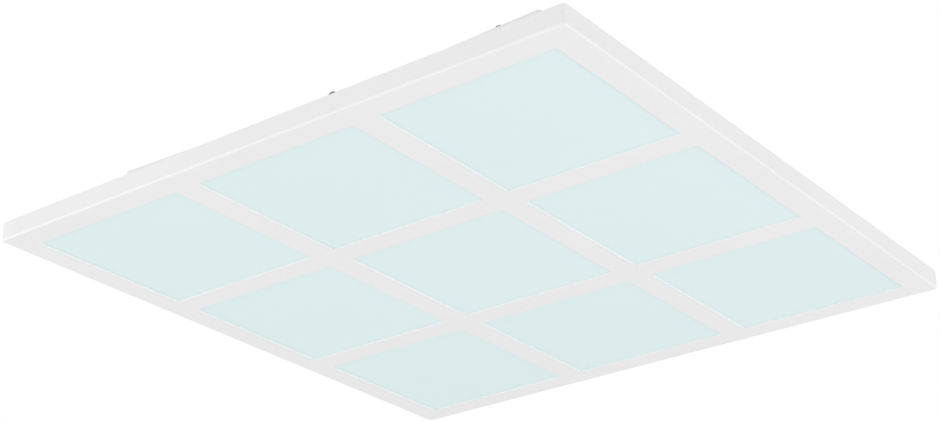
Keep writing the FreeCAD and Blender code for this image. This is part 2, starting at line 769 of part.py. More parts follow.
def strap_end():
    start = -strap_half + STRAP_RELIEF
    bend = max(STRAP_FOLD_RADIUS - STRAP_SHEET, 0)
    points = [
        (start, 0), (start, -STRAP_SHEET), (-strap_half + STRAP_SHEET, -STRAP_SHEET),
        (-strap_half + STRAP_SHEET, -STRAP_EAR), (-strap_half, -STRAP_EAR), (-strap_half, 0),
    ]
    corners = [vector(-STRAP_WIDTH / 2, y, z) for y, z in points]
    ear = section_run(corners, [0, 0, bend, 0, 0, STRAP_FOLD_RADIUS], vector(STRAP_WIDTH, 0, 0))
    hole = rod_y(THUMB_OFFSET, -THUMB_DROP, BUSH_RADIUS + BUSH_FIT, -strap_half, -strap_half + STRAP_SHEET)
    return ear.cut(hole)


def ceiling_strap():
    end = strap_end()
    strap = joined([strap_channel(), end, turned(end, 180)])
    cuts = [disc(0, 0, SUPPLY_HOLE_RADIUS, -STRAP_SHEET, 0)]
    for side in (-1, 1):
        slot = rectangle(0, side * SLOT_SPACING / 2, SLOT_WIDTH, SLOT_LENGTH, SLOT_WIDTH / 2, -STRAP_SHEET)
        cuts.append(sheet(slot, [], STRAP_SHEET))
    return strap.cut(Part.makeCompound(cuts))


def strap_bushes():
    flange_end = -tray_inner_half + BUSH_GAP
    bush_end = -strap_half + BUSH_LENGTH
    flange = rod_y(THUMB_OFFSET, -THUMB_DROP, BUSH_FLANGE_RADIUS, flange_end, -strap_half)
    body = rod_y(THUMB_OFFSET, -THUMB_DROP, BUSH_RADIUS, -strap_half, bush_end)
    bore = rod_y(THUMB_OFFSET, -THUMB_DROP, thumb_hole, flange_end, bush_end)
    bush = joined([flange, body]).cut(bore)
    return Part.makeCompound([bush, turned(bush, 180)])


def thumb_screw():
    seat = -tray_half - THUMB_CLEARANCE
    tip = -strap_half + BUSH_LENGTH + THUMB_PAST_BUSH
    face = seat - THUMB_HEAD_LENGTH
    head = rod_y(THUMB_OFFSET, -THUMB_DROP, THUMB_HEAD_RADIUS, face, seat)
    rim = [edge for edge in head.Edges if edge.BoundBox.YMax - face < TINY]
    head = head.makeChamfer(THUMB_HEAD_CHAMFER, rim)
    flutes = []
    for i in range(THUMB_FLUTES):
        angle = 2 * math.pi * i / THUMB_FLUTES
        x = THUMB_OFFSET + THUMB_HEAD_RADIUS * math.cos(angle)
        z = -THUMB_DROP + THUMB_HEAD_RADIUS * math.sin(angle)
        flutes.append(rod_y(x, z, THUMB_FLUTE_RADIUS, face, seat))
    head = head.cut(Part.makeCompound(flutes))
    return joined([head, rod_y(THUMB_OFFSET, -THUMB_DROP, THUMB_SHANK_RADIUS, seat, tip)])


# Driver


def case_block(shrink, bottom, top):
    width = DRIVER_WIDTH - 2 * shrink
    length = DRIVER_LENGTH - 2 * shrink
    wall = rectangle(lead_x, driver_middle, width, length, DRIVER_CORNER_RADIUS - shrink, bottom)
    return sheet(wall, [], top - bottom)


def driver_base():
    inner_floor = tray_floor + DRIVER_WALL
    shell = case_block(0, tray_floor, driver_rim).cut(case_block(DRIVER_WALL, inner_floor, driver_rim))
    parts = [shell]
    reach_x = circuit_width / 2 - CIRCUIT_POST_INSET
    reach_y = circuit_length / 2 - CIRCUIT_POST_INSET
    for i in (-1, 1):
        for j in (-1, 1):
            place = (lead_x + i * reach_x, driver_middle + j * reach_y)
            parts.append(disc(*place, CIRCUIT_POST_RADIUS, inner_floor, circuit_bottom))
    for x, y in ear_places:
        parts.append(block(x, y, EAR_WIDTH, EAR_LENGTH, tray_floor, tray_floor + EAR_THICK))
    cuts = [disc(x, y, screw_hole, tray_floor, tray_floor + EAR_THICK) for x, y in ear_places]
    cuts.append(rod_y(lead_x, lead_level, GROMMET_BORE_RADIUS, driver_front, driver_front + DRIVER_WALL))
    for y in inlet_lines():
        cuts.append(rod_x(y, lead_level, WIRE_RADIUS + WIRE_FIT, driver_side - DRIVER_WALL, driver_side))
    return joined(parts).cut(Part.makeCompound(cuts))


def driver_lid():
    lip_outer = DRIVER_WALL + LID_FIT
    lip_inner = lip_outer + LID_LIP_WALL
    lip_bottom = driver_rim - LID_LIP_DEPTH
    cap = case_block(0, driver_rim, driver_top)
    cap = cap.makeFillet(LID_EDGE_RADIUS, edges_at_height(cap, driver_top))
    lid = joined([cap, case_block(lip_outer, lip_bottom, driver_rim)])
    cuts = [case_block(lip_inner, lip_bottom, lid_ceiling)]
    for i in range(VENT_COUNT):
        y = driver_middle + (i - (VENT_COUNT - 1) / 2) * VENT_PITCH
        vent = rectangle(lead_x, y, VENT_LENGTH, VENT_WIDTH, VENT_WIDTH / 2, lid_ceiling)
        cuts.append(sheet(vent, [], DRIVER_WALL))
    slot_length = SWITCH_KNOB_LENGTH + 2 * (SWITCH_TRAVEL + SWITCH_CLEARANCE)
    slot_width = SWITCH_KNOB_WIDTH + 2 * SWITCH_CLEARANCE
    cuts.append(block(lead_x, switch_y, slot_width, slot_length, lid_ceiling, driver_top))
    return lid.cut(Part.makeCompound(cuts))


def driver_board():
    return block(lead_x, driver_middle, circuit_width, circuit_length, circuit_bottom, circuit_top)


def solder_blocks():
    top = circuit_top + SOLDER_BLOCK_HEIGHT
    front = solder_front
    side = lead_x + circuit_width / 2
    length, width = SOLDER_BLOCK_LENGTH, SOLDER_BLOCK_WIDTH
    outlet = block(lead_x, front + length / 2, width, length, circuit_top, top)
    hole = LINK_RADIUS + WIRE_FIT
    for i in link_offsets:
        for j in link_offsets:
            outlet = outlet.cut(rod_y(lead_x + i, lead_level + j, hole, front, front + SOCKET_DEPTH))
    inlet = block(side - length / 2, inlet_y, length, width, circuit_top, top)
    hole = WIRE_RADIUS + WIRE_FIT
    for y in inlet_lines():
        inlet = inlet.cut(rod_x(y, lead_level, hole, side - SOCKET_DEPTH, side))
    return Part.makeCompound([outlet, inlet])


def transformer_coil():
    size_x = CORE_WIDTH + 2 * COIL_MARGIN
    size_y = CORE_LENGTH - 2 * CORE_LIMB
    bottom = circuit_top + CORE_LIMB / 2
    top = circuit_top + CORE_HEIGHT - CORE_LIMB / 2
    winding = rectangle(lead_x, driver_middle, size_x, size_y, COIL_EDGE_RADIUS, bottom)
    return sheet(winding, [], top - bottom)


def transformer_core(coil):
    core = block(lead_x, driver_middle, CORE_WIDTH, CORE_LENGTH, circuit_top, circuit_top + CORE_HEIGHT)
    return core.cut(coil)


def driver_choke():
    middle = vector(lead_x, choke_y, circuit_top + CHOKE_TURN_RADIUS)
    return Part.makeTorus(CHOKE_RADIUS, CHOKE_TURN_RADIUS, middle)


def driver_capacitors():
    top = circuit_top + CAPACITOR_HEIGHT
    cans = []
    for i in range(CAPACITOR_COUNT):
        x = lead_x + (i - (CAPACITOR_COUNT - 1) / 2) * CAPACITOR_PITCH
        can = disc(x, capacitor_y, CAPACITOR_RADIUS, circuit_top, top)
        cans.append(can.makeFillet(CAPACITOR_EDGE_RADIUS, edges_at_height(can, top)))
    return Part.makeCompound(cans)


def switch_body():
    top = slider_bottom - SWITCH_CLEARANCE
    return block(lead_x, switch_y, SWITCH_BODY_WIDTH, SWITCH_BODY_LENGTH, circuit_top, top)


def switch_slider():
    flange = block(lead_x, switch_y, SWITCH_FLANGE_WIDTH, SWITCH_FLANGE_LENGTH, slider_bottom, slider_top)
    knob_top = driver_top + SWITCH_KNOB_RISE
    knob = block(lead_x, switch_y, SWITCH_KNOB_WIDTH, SWITCH_KNOB_LENGTH, slider_top, knob_top)
    return joined([flange, knob])


# Terminal block


def terminal_block():
    body = block(terminal_x, terminal_y, TERMINAL_WIDTH, TERMINAL_LENGTH, tray_floor, terminal_top)
    body = body.makeFillet(TERMINAL_EDGE_RADIUS, edges_at_height(body, terminal_top))
    tabs = [block(x, y, TAB_LENGTH, TAB_WIDTH, tray_floor, tray_floor + TAB_THICK) for x, y in tab_places]
    cuts = [disc(x, y, screw_hole, tray_floor, tray_floor + TAB_THICK) for x, y in tab_places]
    well_width = BUTTON_WIDTH + 2 * BUTTON_CLEARANCE
    well_length = BUTTON_LENGTH + 2 * BUTTON_CLEARANCE
    entry_end = terminal_front + ENTRY_DEPTH
    for x in poles:
        cuts.append(block(x, button_y, well_width, well_length, well_bottom, terminal_top))
        cuts.append(rod_y(x, pole_level, SUPPLY_ENTRY_RADIUS, terminal_front, entry_end))
        cuts.append(rod_y(x, pole_level, WIRE_RADIUS + WIRE_FIT, wire_end, terminal_back))
    return joined([body] + tabs).cut(Part.makeCompound(cuts))


def terminal_button(x):
    top = terminal_top + BUTTON_RISE
    button = block(x, button_y, BUTTON_WIDTH, BUTTON_LENGTH, button_bottom, top)
    return button.makeFillet(BUTTON_EDGE_RADIUS, edges_at_height(button, top))


def terminal_clips():
    back = button_y + BUTTON_LENGTH / 2 + BUTTON_CLEARANCE
    clips = []
    for x in poles:
        left, right = x - CLIP_WIDTH / 2, x + CLIP_WIDTH / 2
        foot = box((left, back - BUTTON_LENGTH, well_bottom), (right, back, well_bottom + CLIP_SHEET))
        leaf = box((left, back - CLIP_SHEET, well_bottom), (right, back, well_bottom + CLIP_HEIGHT))
        clips.append(joined([foot, leaf]))
    return Part.makeCompound(clips)


# Wires, screws and earth stud in the tray


def inlet_lines():
    return [inlet_y + (i - 0.5) * WIRE_SPACING for i in range(2)]


def supply_wire(pole_x, line_y):
    drop = terminal_back + WIRE_DROP_START
    rise = driver_side + WIRE_RISE_START
    route = [
        (pole_x, wire_end, pole_level),
        (pole_x, drop, pole_level),
        (pole_x, drop + WIRE_DROP_RUN, wire_level),
        (pole_x, line_y, wire_level),
        (rise + WIRE_RISE_RUN, line_y, wire_level),
        (rise, line_y, lead_level),
        (lead_x + circuit_width / 2 - SOCKET_DEPTH, line_y, lead_level),
    ]
    bends = [WIRE_DROP_BEND, WIRE_DROP_BEND, WIRE_BEND, WIRE_DROP_BEND, WIRE_DROP_BEND]
    return wire_along(route, bends, WIRE_RADIUS)


def earth_wire():
    drop = terminal_back + WIRE_DROP_START
    route = [
        (poles[2], wire_end, pole_level),
        (poles[2], drop, pole_level),
        (poles[2], drop + WIRE_DROP_RUN, tag_level),
        (poles[2], earth_y, tag_level),
        (tag_mouth + TAG_BARREL_LENGTH, earth_y, tag_level),
    ]
    return wire_along(route, [WIRE_DROP_BEND, WIRE_DROP_BEND, EARTH_BEND], WIRE_RADIUS)


def earth_tag():
    ring_top = tray_floor + TAG_THICK
    barrel_end = tag_mouth + TAG_BARREL_LENGTH
    inner = WIRE_RADIUS + WIRE_FIT
    outer = inner + TAG_BARREL_WALL
    ring = disc(earth_x, earth_y, TAG_RADIUS, tray_floor, ring_top)
    half = TAG_NECK_WIDTH / 2
    neck = box((tag_mouth, earth_y - half, tray_floor), (earth_x, earth_y + half, ring_top))
    barrel = rod_x(earth_y, tag_level, outer, tag_mouth, barrel_end)
    tag = joined([ring, neck, barrel])
    bore = rod_x(earth_y, tag_level, inner, tag_mouth, barrel_end)
    return tag.cut(Part.makeCompound([bore, disc(earth_x, earth_y, stud_hole, tray_floor, ring_top)]))


def earth_stud():
    return disc(earth_x, earth_y, STUD_RADIUS, tray_floor, tray_floor + EARTH_STUD_HEIGHT)


def floor_screws():
    screws = [slotted_screw(x, y, tray_floor + EAR_THICK) for x, y in ear_places]
    screws += [slotted_screw(x, y, tray_floor + TAB_THICK) for x, y in tab_places]
    return Part.makeCompound(screws)


def spread(start, end, count):
    return [start + (end - start) * (i + 0.5) / count for i in range(count)]


def wire_saddles():
    run_start = terminal_back + WIRE_DROP_START + WIRE_DROP_RUN
    turn_end = driver_side + WIRE_RISE_START + WIRE_RISE_RUN
    top = wire_level + WIRE_RADIUS + WIRE_FIT + SADDLE_ROOF
    width = WIRE_SPACING + 2 * (WIRE_RADIUS + WIRE_FIT + SADDLE_MARGIN)
    bore = WIRE_RADIUS + WIRE_FIT
    run_middle = (poles[0] + poles[1]) / 2
    run_width = width + POLE_PITCH - WIRE_SPACING
    half = SADDLE_LENGTH / 2
    saddles = []
    for y in spread(run_start, inlet_y - WIRE_BEND, RUN_SADDLES):
        saddle = block(run_middle, y, run_width, SADDLE_LENGTH, tray_floor, top)
        wires = [rod_y(x, wire_level, bore, y - half, y + half) for x in poles[:2]]
        saddles.append(saddle.cut(Part.makeCompound(wires)))
    for x in spread(poles[0] - WIRE_BEND, turn_end, TURN_SADDLES):
        saddle = block(x, inlet_y, SADDLE_LENGTH, width, tray_floor, top)
        wires = [rod_x(y, wire_level, bore, x - half, x + half) for y in inlet_lines()]
        saddles.append(saddle.cut(Part.makeCompound(wires)))
    return Part.makeCompound(saddles)


# Every piece under its own name


def all_pieces():
    tray = base_tray()
    coil = transformer_coil()
    screw = thumb_screw()
    rail = clamp_rail()
    pieces = {
        "front_cover": front_cover(),
        "cover_studs": cover_studs(),
        "cover_nuts": cover_nuts(),
        "diffuser_sheet": diffuser_sheet(),
        "gasket_strips": gasket_strips(),
        "back_plate": back_plate(),
        "led_chips": led_chips(),
        "led_lenses": led_lenses(),
        "reflector_sheet": reflector_sheet(),
        "board_rivets": board_rivets(),
        "diffuser_posts": diffuser_posts(),
        "board_connectors": board_connectors(),
        "board_links": board_links(),
        "led_wires_red": led_wires(LINK_PITCH / 2),
        "led_wires_black": led_wires(-LINK_PITCH / 2),
        "base_tray": tray,
        "tray_rivets": tray_rivets(),
        "rim_buffers": rim_buffers(tray),
        "lead_grommet": lead_grommet(),
        "ceiling_strap": ceiling_strap(),
        "strap_bushes": strap_bushes(),
        "thumb_screw_front": screw,
        "thumb_screw_back": turned(screw, 180),
        "driver_base": driver_base(),
        "driver_lid": driver_lid(),
        "driver_board": driver_board(),
        "solder_blocks": solder_blocks(),
        "transformer_coil": coil,
        "transformer_core": transformer_core(coil),
        "driver_choke": driver_choke(),
        "driver_capacitors": driver_capacitors(),
        "switch_body": switch_body(),
        "switch_slider": switch_slider(),
        "terminal_block": terminal_block(),
        "terminal_clips": terminal_clips(),
        "live_wire": supply_wire(poles[0], inlet_lines()[0]),
        "neutral_wire": supply_wire(poles[1], inlet_lines()[1]),
        "earth_wire": earth_wire(),
        "earth_tag": earth_tag(),
        "earth_stud": earth_stud(),
        "earth_nut": hexagon_nut(earth_x, earth_y, tray_floor + TAG_THICK),
        "floor_screws": floor_screws(),
        "wire_saddles": wire_saddles(),
    }
    for number in range(4):
        pieces["clamp_rail_%d" % (number + 1)] = turned(rail, 90 * number)
    for number, (x, y) in enumerate(board_places, 1):
        pieces["led_board_%d" % number] = led_board(x, y)
    for number, x in enumerate(poles, 1):
        pieces["terminal_button_%d" % number] = terminal_button(x)
    return pieces


os.makedirs("parts", exist_ok=True)
for name, shape in all_pieces().items():
    shape.exportStep("parts/%s.step" % name)
    state = "valid" if shape.isValid() else "BAD"
    print(name, len(shape.Solids), "solids", round(shape.Volume, 1), "mm3", state)
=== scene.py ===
# Looks of a square LED ceiling panel light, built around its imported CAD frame.
# Lengths are metres, and every piece lies in the CAD model's own frame.

import json
import math

import bmesh
import bpy
from mathutils import Matrix, Vector


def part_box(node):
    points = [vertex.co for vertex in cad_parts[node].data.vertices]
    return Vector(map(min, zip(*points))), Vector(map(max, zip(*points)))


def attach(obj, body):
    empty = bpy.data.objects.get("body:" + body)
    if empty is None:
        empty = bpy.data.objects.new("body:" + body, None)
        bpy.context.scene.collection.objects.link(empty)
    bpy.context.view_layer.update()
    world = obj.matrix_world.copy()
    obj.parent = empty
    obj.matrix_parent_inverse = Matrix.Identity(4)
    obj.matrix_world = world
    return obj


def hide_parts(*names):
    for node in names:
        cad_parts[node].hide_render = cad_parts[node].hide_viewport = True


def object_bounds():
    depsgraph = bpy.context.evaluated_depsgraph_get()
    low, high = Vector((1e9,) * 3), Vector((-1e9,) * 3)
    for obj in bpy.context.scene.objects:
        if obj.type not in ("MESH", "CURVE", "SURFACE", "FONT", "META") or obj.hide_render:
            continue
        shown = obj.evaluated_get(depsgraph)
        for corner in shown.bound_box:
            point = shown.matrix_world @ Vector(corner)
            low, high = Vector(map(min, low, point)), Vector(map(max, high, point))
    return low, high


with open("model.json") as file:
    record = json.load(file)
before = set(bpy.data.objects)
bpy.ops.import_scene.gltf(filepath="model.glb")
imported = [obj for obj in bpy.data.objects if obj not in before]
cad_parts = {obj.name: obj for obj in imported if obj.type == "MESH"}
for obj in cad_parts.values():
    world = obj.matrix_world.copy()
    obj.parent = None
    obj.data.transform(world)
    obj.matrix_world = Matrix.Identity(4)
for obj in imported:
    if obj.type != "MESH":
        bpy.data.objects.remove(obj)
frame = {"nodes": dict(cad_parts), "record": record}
cad_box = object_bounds()

bl_info = {
    "name": "Ceiling panel light",
    "version": (1, 0, 0),
    "blender": (4, 5, 0),
    "location": "View3D > Sidebar > Panel light",
    "description": "Finishes, fasteners and studio of a square LED ceiling panel light",
    "category": "Object",
}

# The body of every piece that doesn't move
BODY = "light"
MM = 0.001
# Corners of triangles that lie this close together are one
WELD = 0.001 * MM
# How far a cutting tool reaches past the surface that it cuts
PAST = 1 * MM

# Facets round the turned pieces, along a rounded edge and up a rivet's dome
STUD_FACETS = 20
HOLE_FACETS = 24
RIVET_FACETS = 28
ENTRY_FACETS = 32
NUT_FACETS = 48
SCREW_FACETS = 64
EDGE_FACETS = 4
DOME_FACETS = 5
# An edge at which the surface turns by less than this is shaded smooth
SMOOTH_ANGLE = math.radians(35)
DOME_SMOOTH_ANGLE = math.radians(50)
QUARTER_TURN = math.radians(90)

BLACK = (0, 0, 0, 1)
WHITE = (1, 1, 1, 1)
# The stretch of a grain that is the same every way
EVEN = (1.0, 1.0, 1.0)
# Width of the camera's sensor, in millimetres as its lens is
SENSOR_WIDTH = 36.0
# A sun shines the same from anywhere, and straight down if it isn't turned
SUN_PLACE = (0, 0, 1)
# Name, place, side and power setting of each soft square lamp, all of which face the light
LAMPS = (
    ("side_lamp", (-1.4, -1.5, -0.45), 1.0, "side_power"),
    ("front_lamp", (0.6, -2.4, -0.5), 1.5, "front_power"),
    ("fill_lamp", (2.5, 0.4, -1.0), 2.0, "fill_power"),
)
# The record's colour for each slot, and the CAD nodes that have the slot
slot_colours = {entry["slot"]: tuple(entry["base_color"]) for entry in frame["record"]["materials"]}
slot_nodes = {}
for subpart in frame["record"]["subparts"]:
    slot_nodes.setdefault(subpart["material_slot"], []).append(subpart["node"])


# Sizes and colours that a user would change


def colour_property(label, default):
    return bpy.props.FloatVectorProperty(
        name=label, description="Colour of " + label.lower(), subtype="COLOR",
        size=3, min=0.0, max=1.0, default=default,
    )


def length_property(label, description, default):
    return bpy.props.FloatProperty(
        name=label, description=description, unit="LENGTH", subtype="DISTANCE",
        min=0.0, precision=5, default=default,
    )


def power_property(label, description, default):
    return bpy.props.FloatProperty(
        name=label, description=description, unit="POWER", min=0.0, default=default
    )


def strength_property(label, description, default):
    return bpy.props.FloatProperty(name=label, description=description, min=0.0, default=default)


class FinishSettings(bpy.types.PropertyGroup):
    """Colours of the main finishes and the size of their grain."""

    paint: colour_property("White paint", (0.855, 0.855, 0.855))
    opal: colour_property("Opal diffuser", (0.753, 0.873, 0.883))
    zinc: colour_property("Zinc plating", slot_colours["zinc_steel"])
    galvanised: colour_property("Galvanised steel", slot_colours["galvanised_steel"])
    case: colour_property("Driver case", slot_colours["case_plastic"])
    track: colour_property("Circuit tracks", (0.16, 0.42, 0.14))
    terminal: colour_property("Terminal block", slot_colours["terminal_grey"])
    button: colour_property("Release buttons", slot_colours["button_orange"])
    earth_stripe: colour_property("Earth wire stripe", (0.82, 0.68, 0.04))
    screw: colour_property("Thumb screws", (0.22, 0.22, 0.225))
    paint_grain: length_property("Paint grain", "Width of the powder coat's ripples", 1.4 * MM)
    opal_grain: length_property("Opal grain", "Width of the diffuser's matt texture", 0.5 * MM)
    spangle: length_property("Spangle", "Width of the zinc crystals on galvanised steel", 6 * MM)
    moulding_grain: length_property("Moulding grain", "Width of the eroded grain on plastic", 0.45 * MM)


class FastenerSettings(bpy.types.PropertyGroup):
    """Sizes of the fasteners that are modelled here in place of their plain solids."""

    stud_radius: length_property("Stud radius", "Outer radius of the stud threads", 2 * MM)
    stud_flange_radius: length_property("Stud flange radius", "Radius of a stud's welded foot", 3.2 * MM)
    stud_flange_height: length_property("Stud flange height", "Height of a stud's welded foot", 0.6 * MM)
    thread_pitch: length_property("Thread pitch", "Distance from one thread to the next", 0.7 * MM)
    thread_depth: length_property("Thread depth", "Depth of a thread", 0.3 * MM)
    nut_width: length_property("Nut width", "Width of a nut across its flats", 7 * MM)
    nut_bore_gap: length_property("Nut bore gap", "Gap between a nut's bore and its stud", 0.15 * MM)
    rivet_head_radius: length_property("Rivet head radius", "Radius of a blind rivet's head", 3.2 * MM)
    rivet_shank_radius: length_property("Rivet shank radius", "Radius of a blind rivet's shank", 1.6 * MM)
    rivet_tail_radius: length_property("Rivet tail radius", "Radius of a rivet's upset tail", 2.6 * MM)
    rivet_pin_radius: length_property("Rivet pin radius", "Radius of the pin left in a rivet", 0.9 * MM)
    thumb_head_length: length_property("Thumb head length", "Length of a thumb screw's head", 6 * MM)
    thumb_chamfer: length_property("Thumb chamfer", "Chamfer round a thumb screw's head", 0.6 * MM)
    thumb_shank_radius: length_property("Thumb shank radius", "Radius of a thumb screw's thread", 2 * MM)
    knurl_depth: length_property("Knurl depth", "Depth of the flutes round a thumb screw's head", 0.45 * MM)
    slot_width: length_property("Slot width", "Width of the driver slot in a thumb screw", 1.1 * MM)
    slot_depth: length_property("Slot depth", "Depth of the driver slot in a thumb screw", 1.3 * MM)


class FittingSettings(bpy.types.PropertyGroup):
    """Sizes of the plastic fittings that are modelled here in place of their plain solids."""

    terminal_width: length_property("Terminal width", "Width of the block without its tabs", 36 * MM)
    terminal_edge: length_property("Terminal edge", "Radius of the terminal block's edges", 1 * MM)
    tab_width: length_property("Tab width", "Width of the terminal block's screw tabs", 14 * MM)
    tab_thickness: length_property("Tab thickness", "Thickness of the block's screw tabs", 2.5 * MM)
    tab_hole_radius: length_property("Tab hole radius", "Radius of the screw holes in the tabs", 1.9 * MM)
    pole_level: length_property("Pole level", "Height of the wire entries above the tray floor", 5 * MM)
    entry_radius: length_property("Entry radius", "Radius of the entries for the supply cores", 1.8 * MM)
    entry_flare: length_property("Entry flare", "How far the mouth of an entry widens", 0.6 * MM)
    wire_radius: length_property("Wire hole radius", "Radius of the holes for the inner wires", 1.35 * MM)
    entry_depth: length_property("Entry depth", "Depth of the entries and wire holes", 7 * MM)
    button_gap: length_property("Button gap", "Gap round a release button", 0.3 * MM)
    groove_width: length_property("Groove width", "Width of the grooves between the poles", 0.8 * MM)
    groove_depth: length_property("Groove depth", "Depth of the grooves between the poles", 0.6 * MM)
    saddle_edge_radius: length_property("Saddle edge", "Radius of a wire saddle's edges", 1.1 * MM)
    saddle_level: length_property("Saddle level", "Height of the wires above the tray floor", 2 * MM)
    saddle_margin: length_property("Saddle margin", "From a wire's middle to the saddle's end", 4.35 * MM)


class StageSettings(bpy.types.PropertyGroup):
    """Camera, lamps and floor."""

    # The camera's place, turn and lens were solved from the panel's outline in the photograph
    camera_place: bpy.props.FloatVectorProperty(
        name="Camera place", description="Where the camera stands", subtype="TRANSLATION",
        unit="LENGTH", size=3, default=(0.945, -1.2501, -0.7626),
    )
    camera_turn: bpy.props.FloatVectorProperty(
        name="Camera turn", description="How the camera is turned", subtype="EULER",
        unit="ROTATION", size=3,
        default=(math.radians(115.3784), math.radians(0.1336), math.radians(37.5681)),
    )
    lens: bpy.props.FloatProperty(
        name="Lens", description="Focal length on a 36 mm sensor", unit="CAMERA", default=73.7032
    )
    floor_level: bpy.props.FloatProperty(
        name="Floor level", description="Height of the studio floor", unit="LENGTH", default=-4.5
    )
    floor_side: length_property("Floor side", "Side of the studio floor", 120.0)
    floor_colour: colour_property("Studio floor", (0.86, 0.86, 0.86))
    sky_light: strength_property("Sky light", "Strength of the even light from all round", 0.51)
    side_power: power_property("Side power", "Power of the soft lamp low on the left", 8.4)
    front_power: power_property("Front power", "Power of the soft lamp low behind the camera", 8.8)
    fill_power: power_property("Fill power", "Power of the soft lamp on the right", 20.3)
    sun_strength: strength_property("Sun strength", "Strength of the soft sun straight above", 1.375)
    sun_spread: bpy.props.FloatProperty(
        name="Sun spread", description="Angle over which the sun is spread", subtype="ANGLE",
        unit="ROTATION", min=0.0, default=math.radians(30),
    )


# Building blocks of a finish


def shader_of(material):
    return material.node_tree.nodes["Principled BSDF"]


def new_finish(name, colour, roughness, metallic=0.0):
    material = bpy.data.materials.new(name)
    material.use_nodes = True
    inputs = shader_of(material).inputs
    inputs["Base Color"].default_value = (*colour, 1.0)
    inputs["Roughness"].default_value = roughness
    inputs["Metallic"].default_value = metallic
    return material


def add_node(owner, kind, values, links):
    """A node of a material or world, with the values and the links of its sockets."""
    tree = owner.node_tree
    node = tree.nodes.new(kind)
    for socket, value in values.items():
        node.inputs[socket].default_value = value
    for socket, source in links.items():
        tree.links.new(source, node.inputs[socket])
    return node


def place_on_piece(material, stretch=EVEN):
    coordinates = add_node(material, "ShaderNodeTexCoord", {}, {})
    mapping = add_node(
        material, "ShaderNodeMapping", {"Scale": stretch}, {"Vector": coordinates.outputs["Object"]}
    )
    return mapping.outputs["Vector"]


def grain(material, width, detail=2.0, stretch=EVEN):
    """Noise with bumps of the given width."""
    noise = add_node(
        material, "ShaderNodeTexNoise", {"Scale": 1 / width, "Detail": detail},
        {"Vector": place_on_piece(material, stretch)},
    )
    return noise.outputs["Fac"]


def cells(material, width, ragged=0.0, ripples=3):
    """A tone for each cell of the given width, with rippled edges that wander by a share of it."""
    place = place_on_piece(material)
    noise = add_node(
        material, "ShaderNodeTexNoise", {"Scale": ripples / width, "Detail": 4.0}, {"Vector": place}
    )
    shift = add_node(material, "ShaderNodeVectorMath", {}, {0: noise.outputs["Color"]})
    shift.operation = "SCALE"
    shift.inputs["Scale"].default_value = ragged * width
    moved = add_node(material, "ShaderNodeVectorMath", {}, {0: place, 1: shift.outputs["Vector"]})
    voronoi = add_node(
        material, "ShaderNodeTexVoronoi", {"Scale": 1 / width}, {"Vector": moved.outputs["Vector"]}
    )
    split = add_node(material, "ShaderNodeSeparateColor", {}, {"Color": voronoi.outputs["Color"]})
    return split.outputs["Red"]


def stripes(material, width, direction):
    """Even bands across one axis of the piece."""
    wave = add_node(
        material, "ShaderNodeTexWave", {"Scale": 1 / width, "Distortion": 0.0},
        {"Vector": place_on_piece(material)},
    )
    wave.bands_direction = direction
    return wave.outputs["Fac"]


def shaded(colour, share):
    """The colour made darker or, by a share above 1, lighter."""
    return tuple(channel * share for channel in colour)


def vary_colour(material, factor, dark, light, low=0.35, high=0.65):
    ramp = add_node(material, "ShaderNodeValToRGB", {}, {"Fac": factor})
    for element, place, colour in zip(ramp.color_ramp.elements, (low, high), (dark, light)):
        element.position = place
        element.color = (*colour, 1.0)
    material.node_tree.links.new(ramp.outputs["Color"], shader_of(material).inputs["Base Color"])


def vary_roughness(material, factor, low, high):
    spread = add_node(material, "ShaderNodeMapRange", {"To Min": low, "To Max": high}, {"Value": factor})
    material.node_tree.links.new(spread.outputs["Result"], shader_of(material).inputs["Roughness"])


def raise_grain(material, factor, depth):
    bump = add_node(material, "ShaderNodeBump", {"Strength": 1.0, "Distance": depth}, {"Height": factor})
    material.node_tree.links.new(bump.outputs["Normal"], shader_of(material).inputs["Normal"])


# Finishes


def powder_coat(name, colour, width):
    """White powder coat: fine orange peel, with a hardly visible drift in tone."""
    material = new_finish(name, colour, roughness=0.45)
    ripple = grain(material, width)
    drift = grain(material, width=120 * MM, detail=3.0)
    vary_colour(material, drift, shaded(colour, 0.985), colour)
    vary_roughness(material, ripple, low=0.4, high=0.52)
    raise_grain(material, ripple, depth=0.02 * MM)
    return material


def opal_acrylic(name, colour, width):
    """Opal acrylic with a fine matt texture on its outer face."""
    material = new_finish(name, colour, roughness=0.5)
    matt = grain(material, width)
    drift = grain(material, width=200 * MM, detail=1.0)
    vary_colour(material, drift, shaded(colour, 0.994), colour)
    vary_roughness(material, matt, low=0.45, high=0.58)
    raise_grain(material, matt, depth=0.008 * MM)
    return material


def galvanised_steel(name, colour, width):
    """Hot-dip galvanised steel: ragged zinc crystals that differ a little in tone and gloss."""
    material = new_finish(name, colour, roughness=0.42, metallic=1.0)
    crystal = cells(material, width, ragged=0.8)
    vary_colour(material, crystal, shaded(colour, 0.91), shaded(colour, 1.09), low=0.1, high=0.9)
    vary_roughness(material, crystal, low=0.34, high=0.52)
    raise_grain(material, grain(material, width=0.9 * MM), depth=0.01 * MM)
    return material


def plated_metal(name, colour, roughness):
    """Plated or turned metal with fine streaks."""
    material = new_finish(name, colour, roughness, metallic=1.0)
    streak = grain(material, width=0.6 * MM, detail=4.0, stretch=(1.0, 1.0, 6.0))
    vary_colour(material, grain(material, width=3 * MM), shaded(colour, 0.9), colour)
    vary_roughness(material, streak, low=roughness - 0.08, high=roughness + 0.1)
    raise_grain(material, streak, depth=0.006 * MM)
    return material


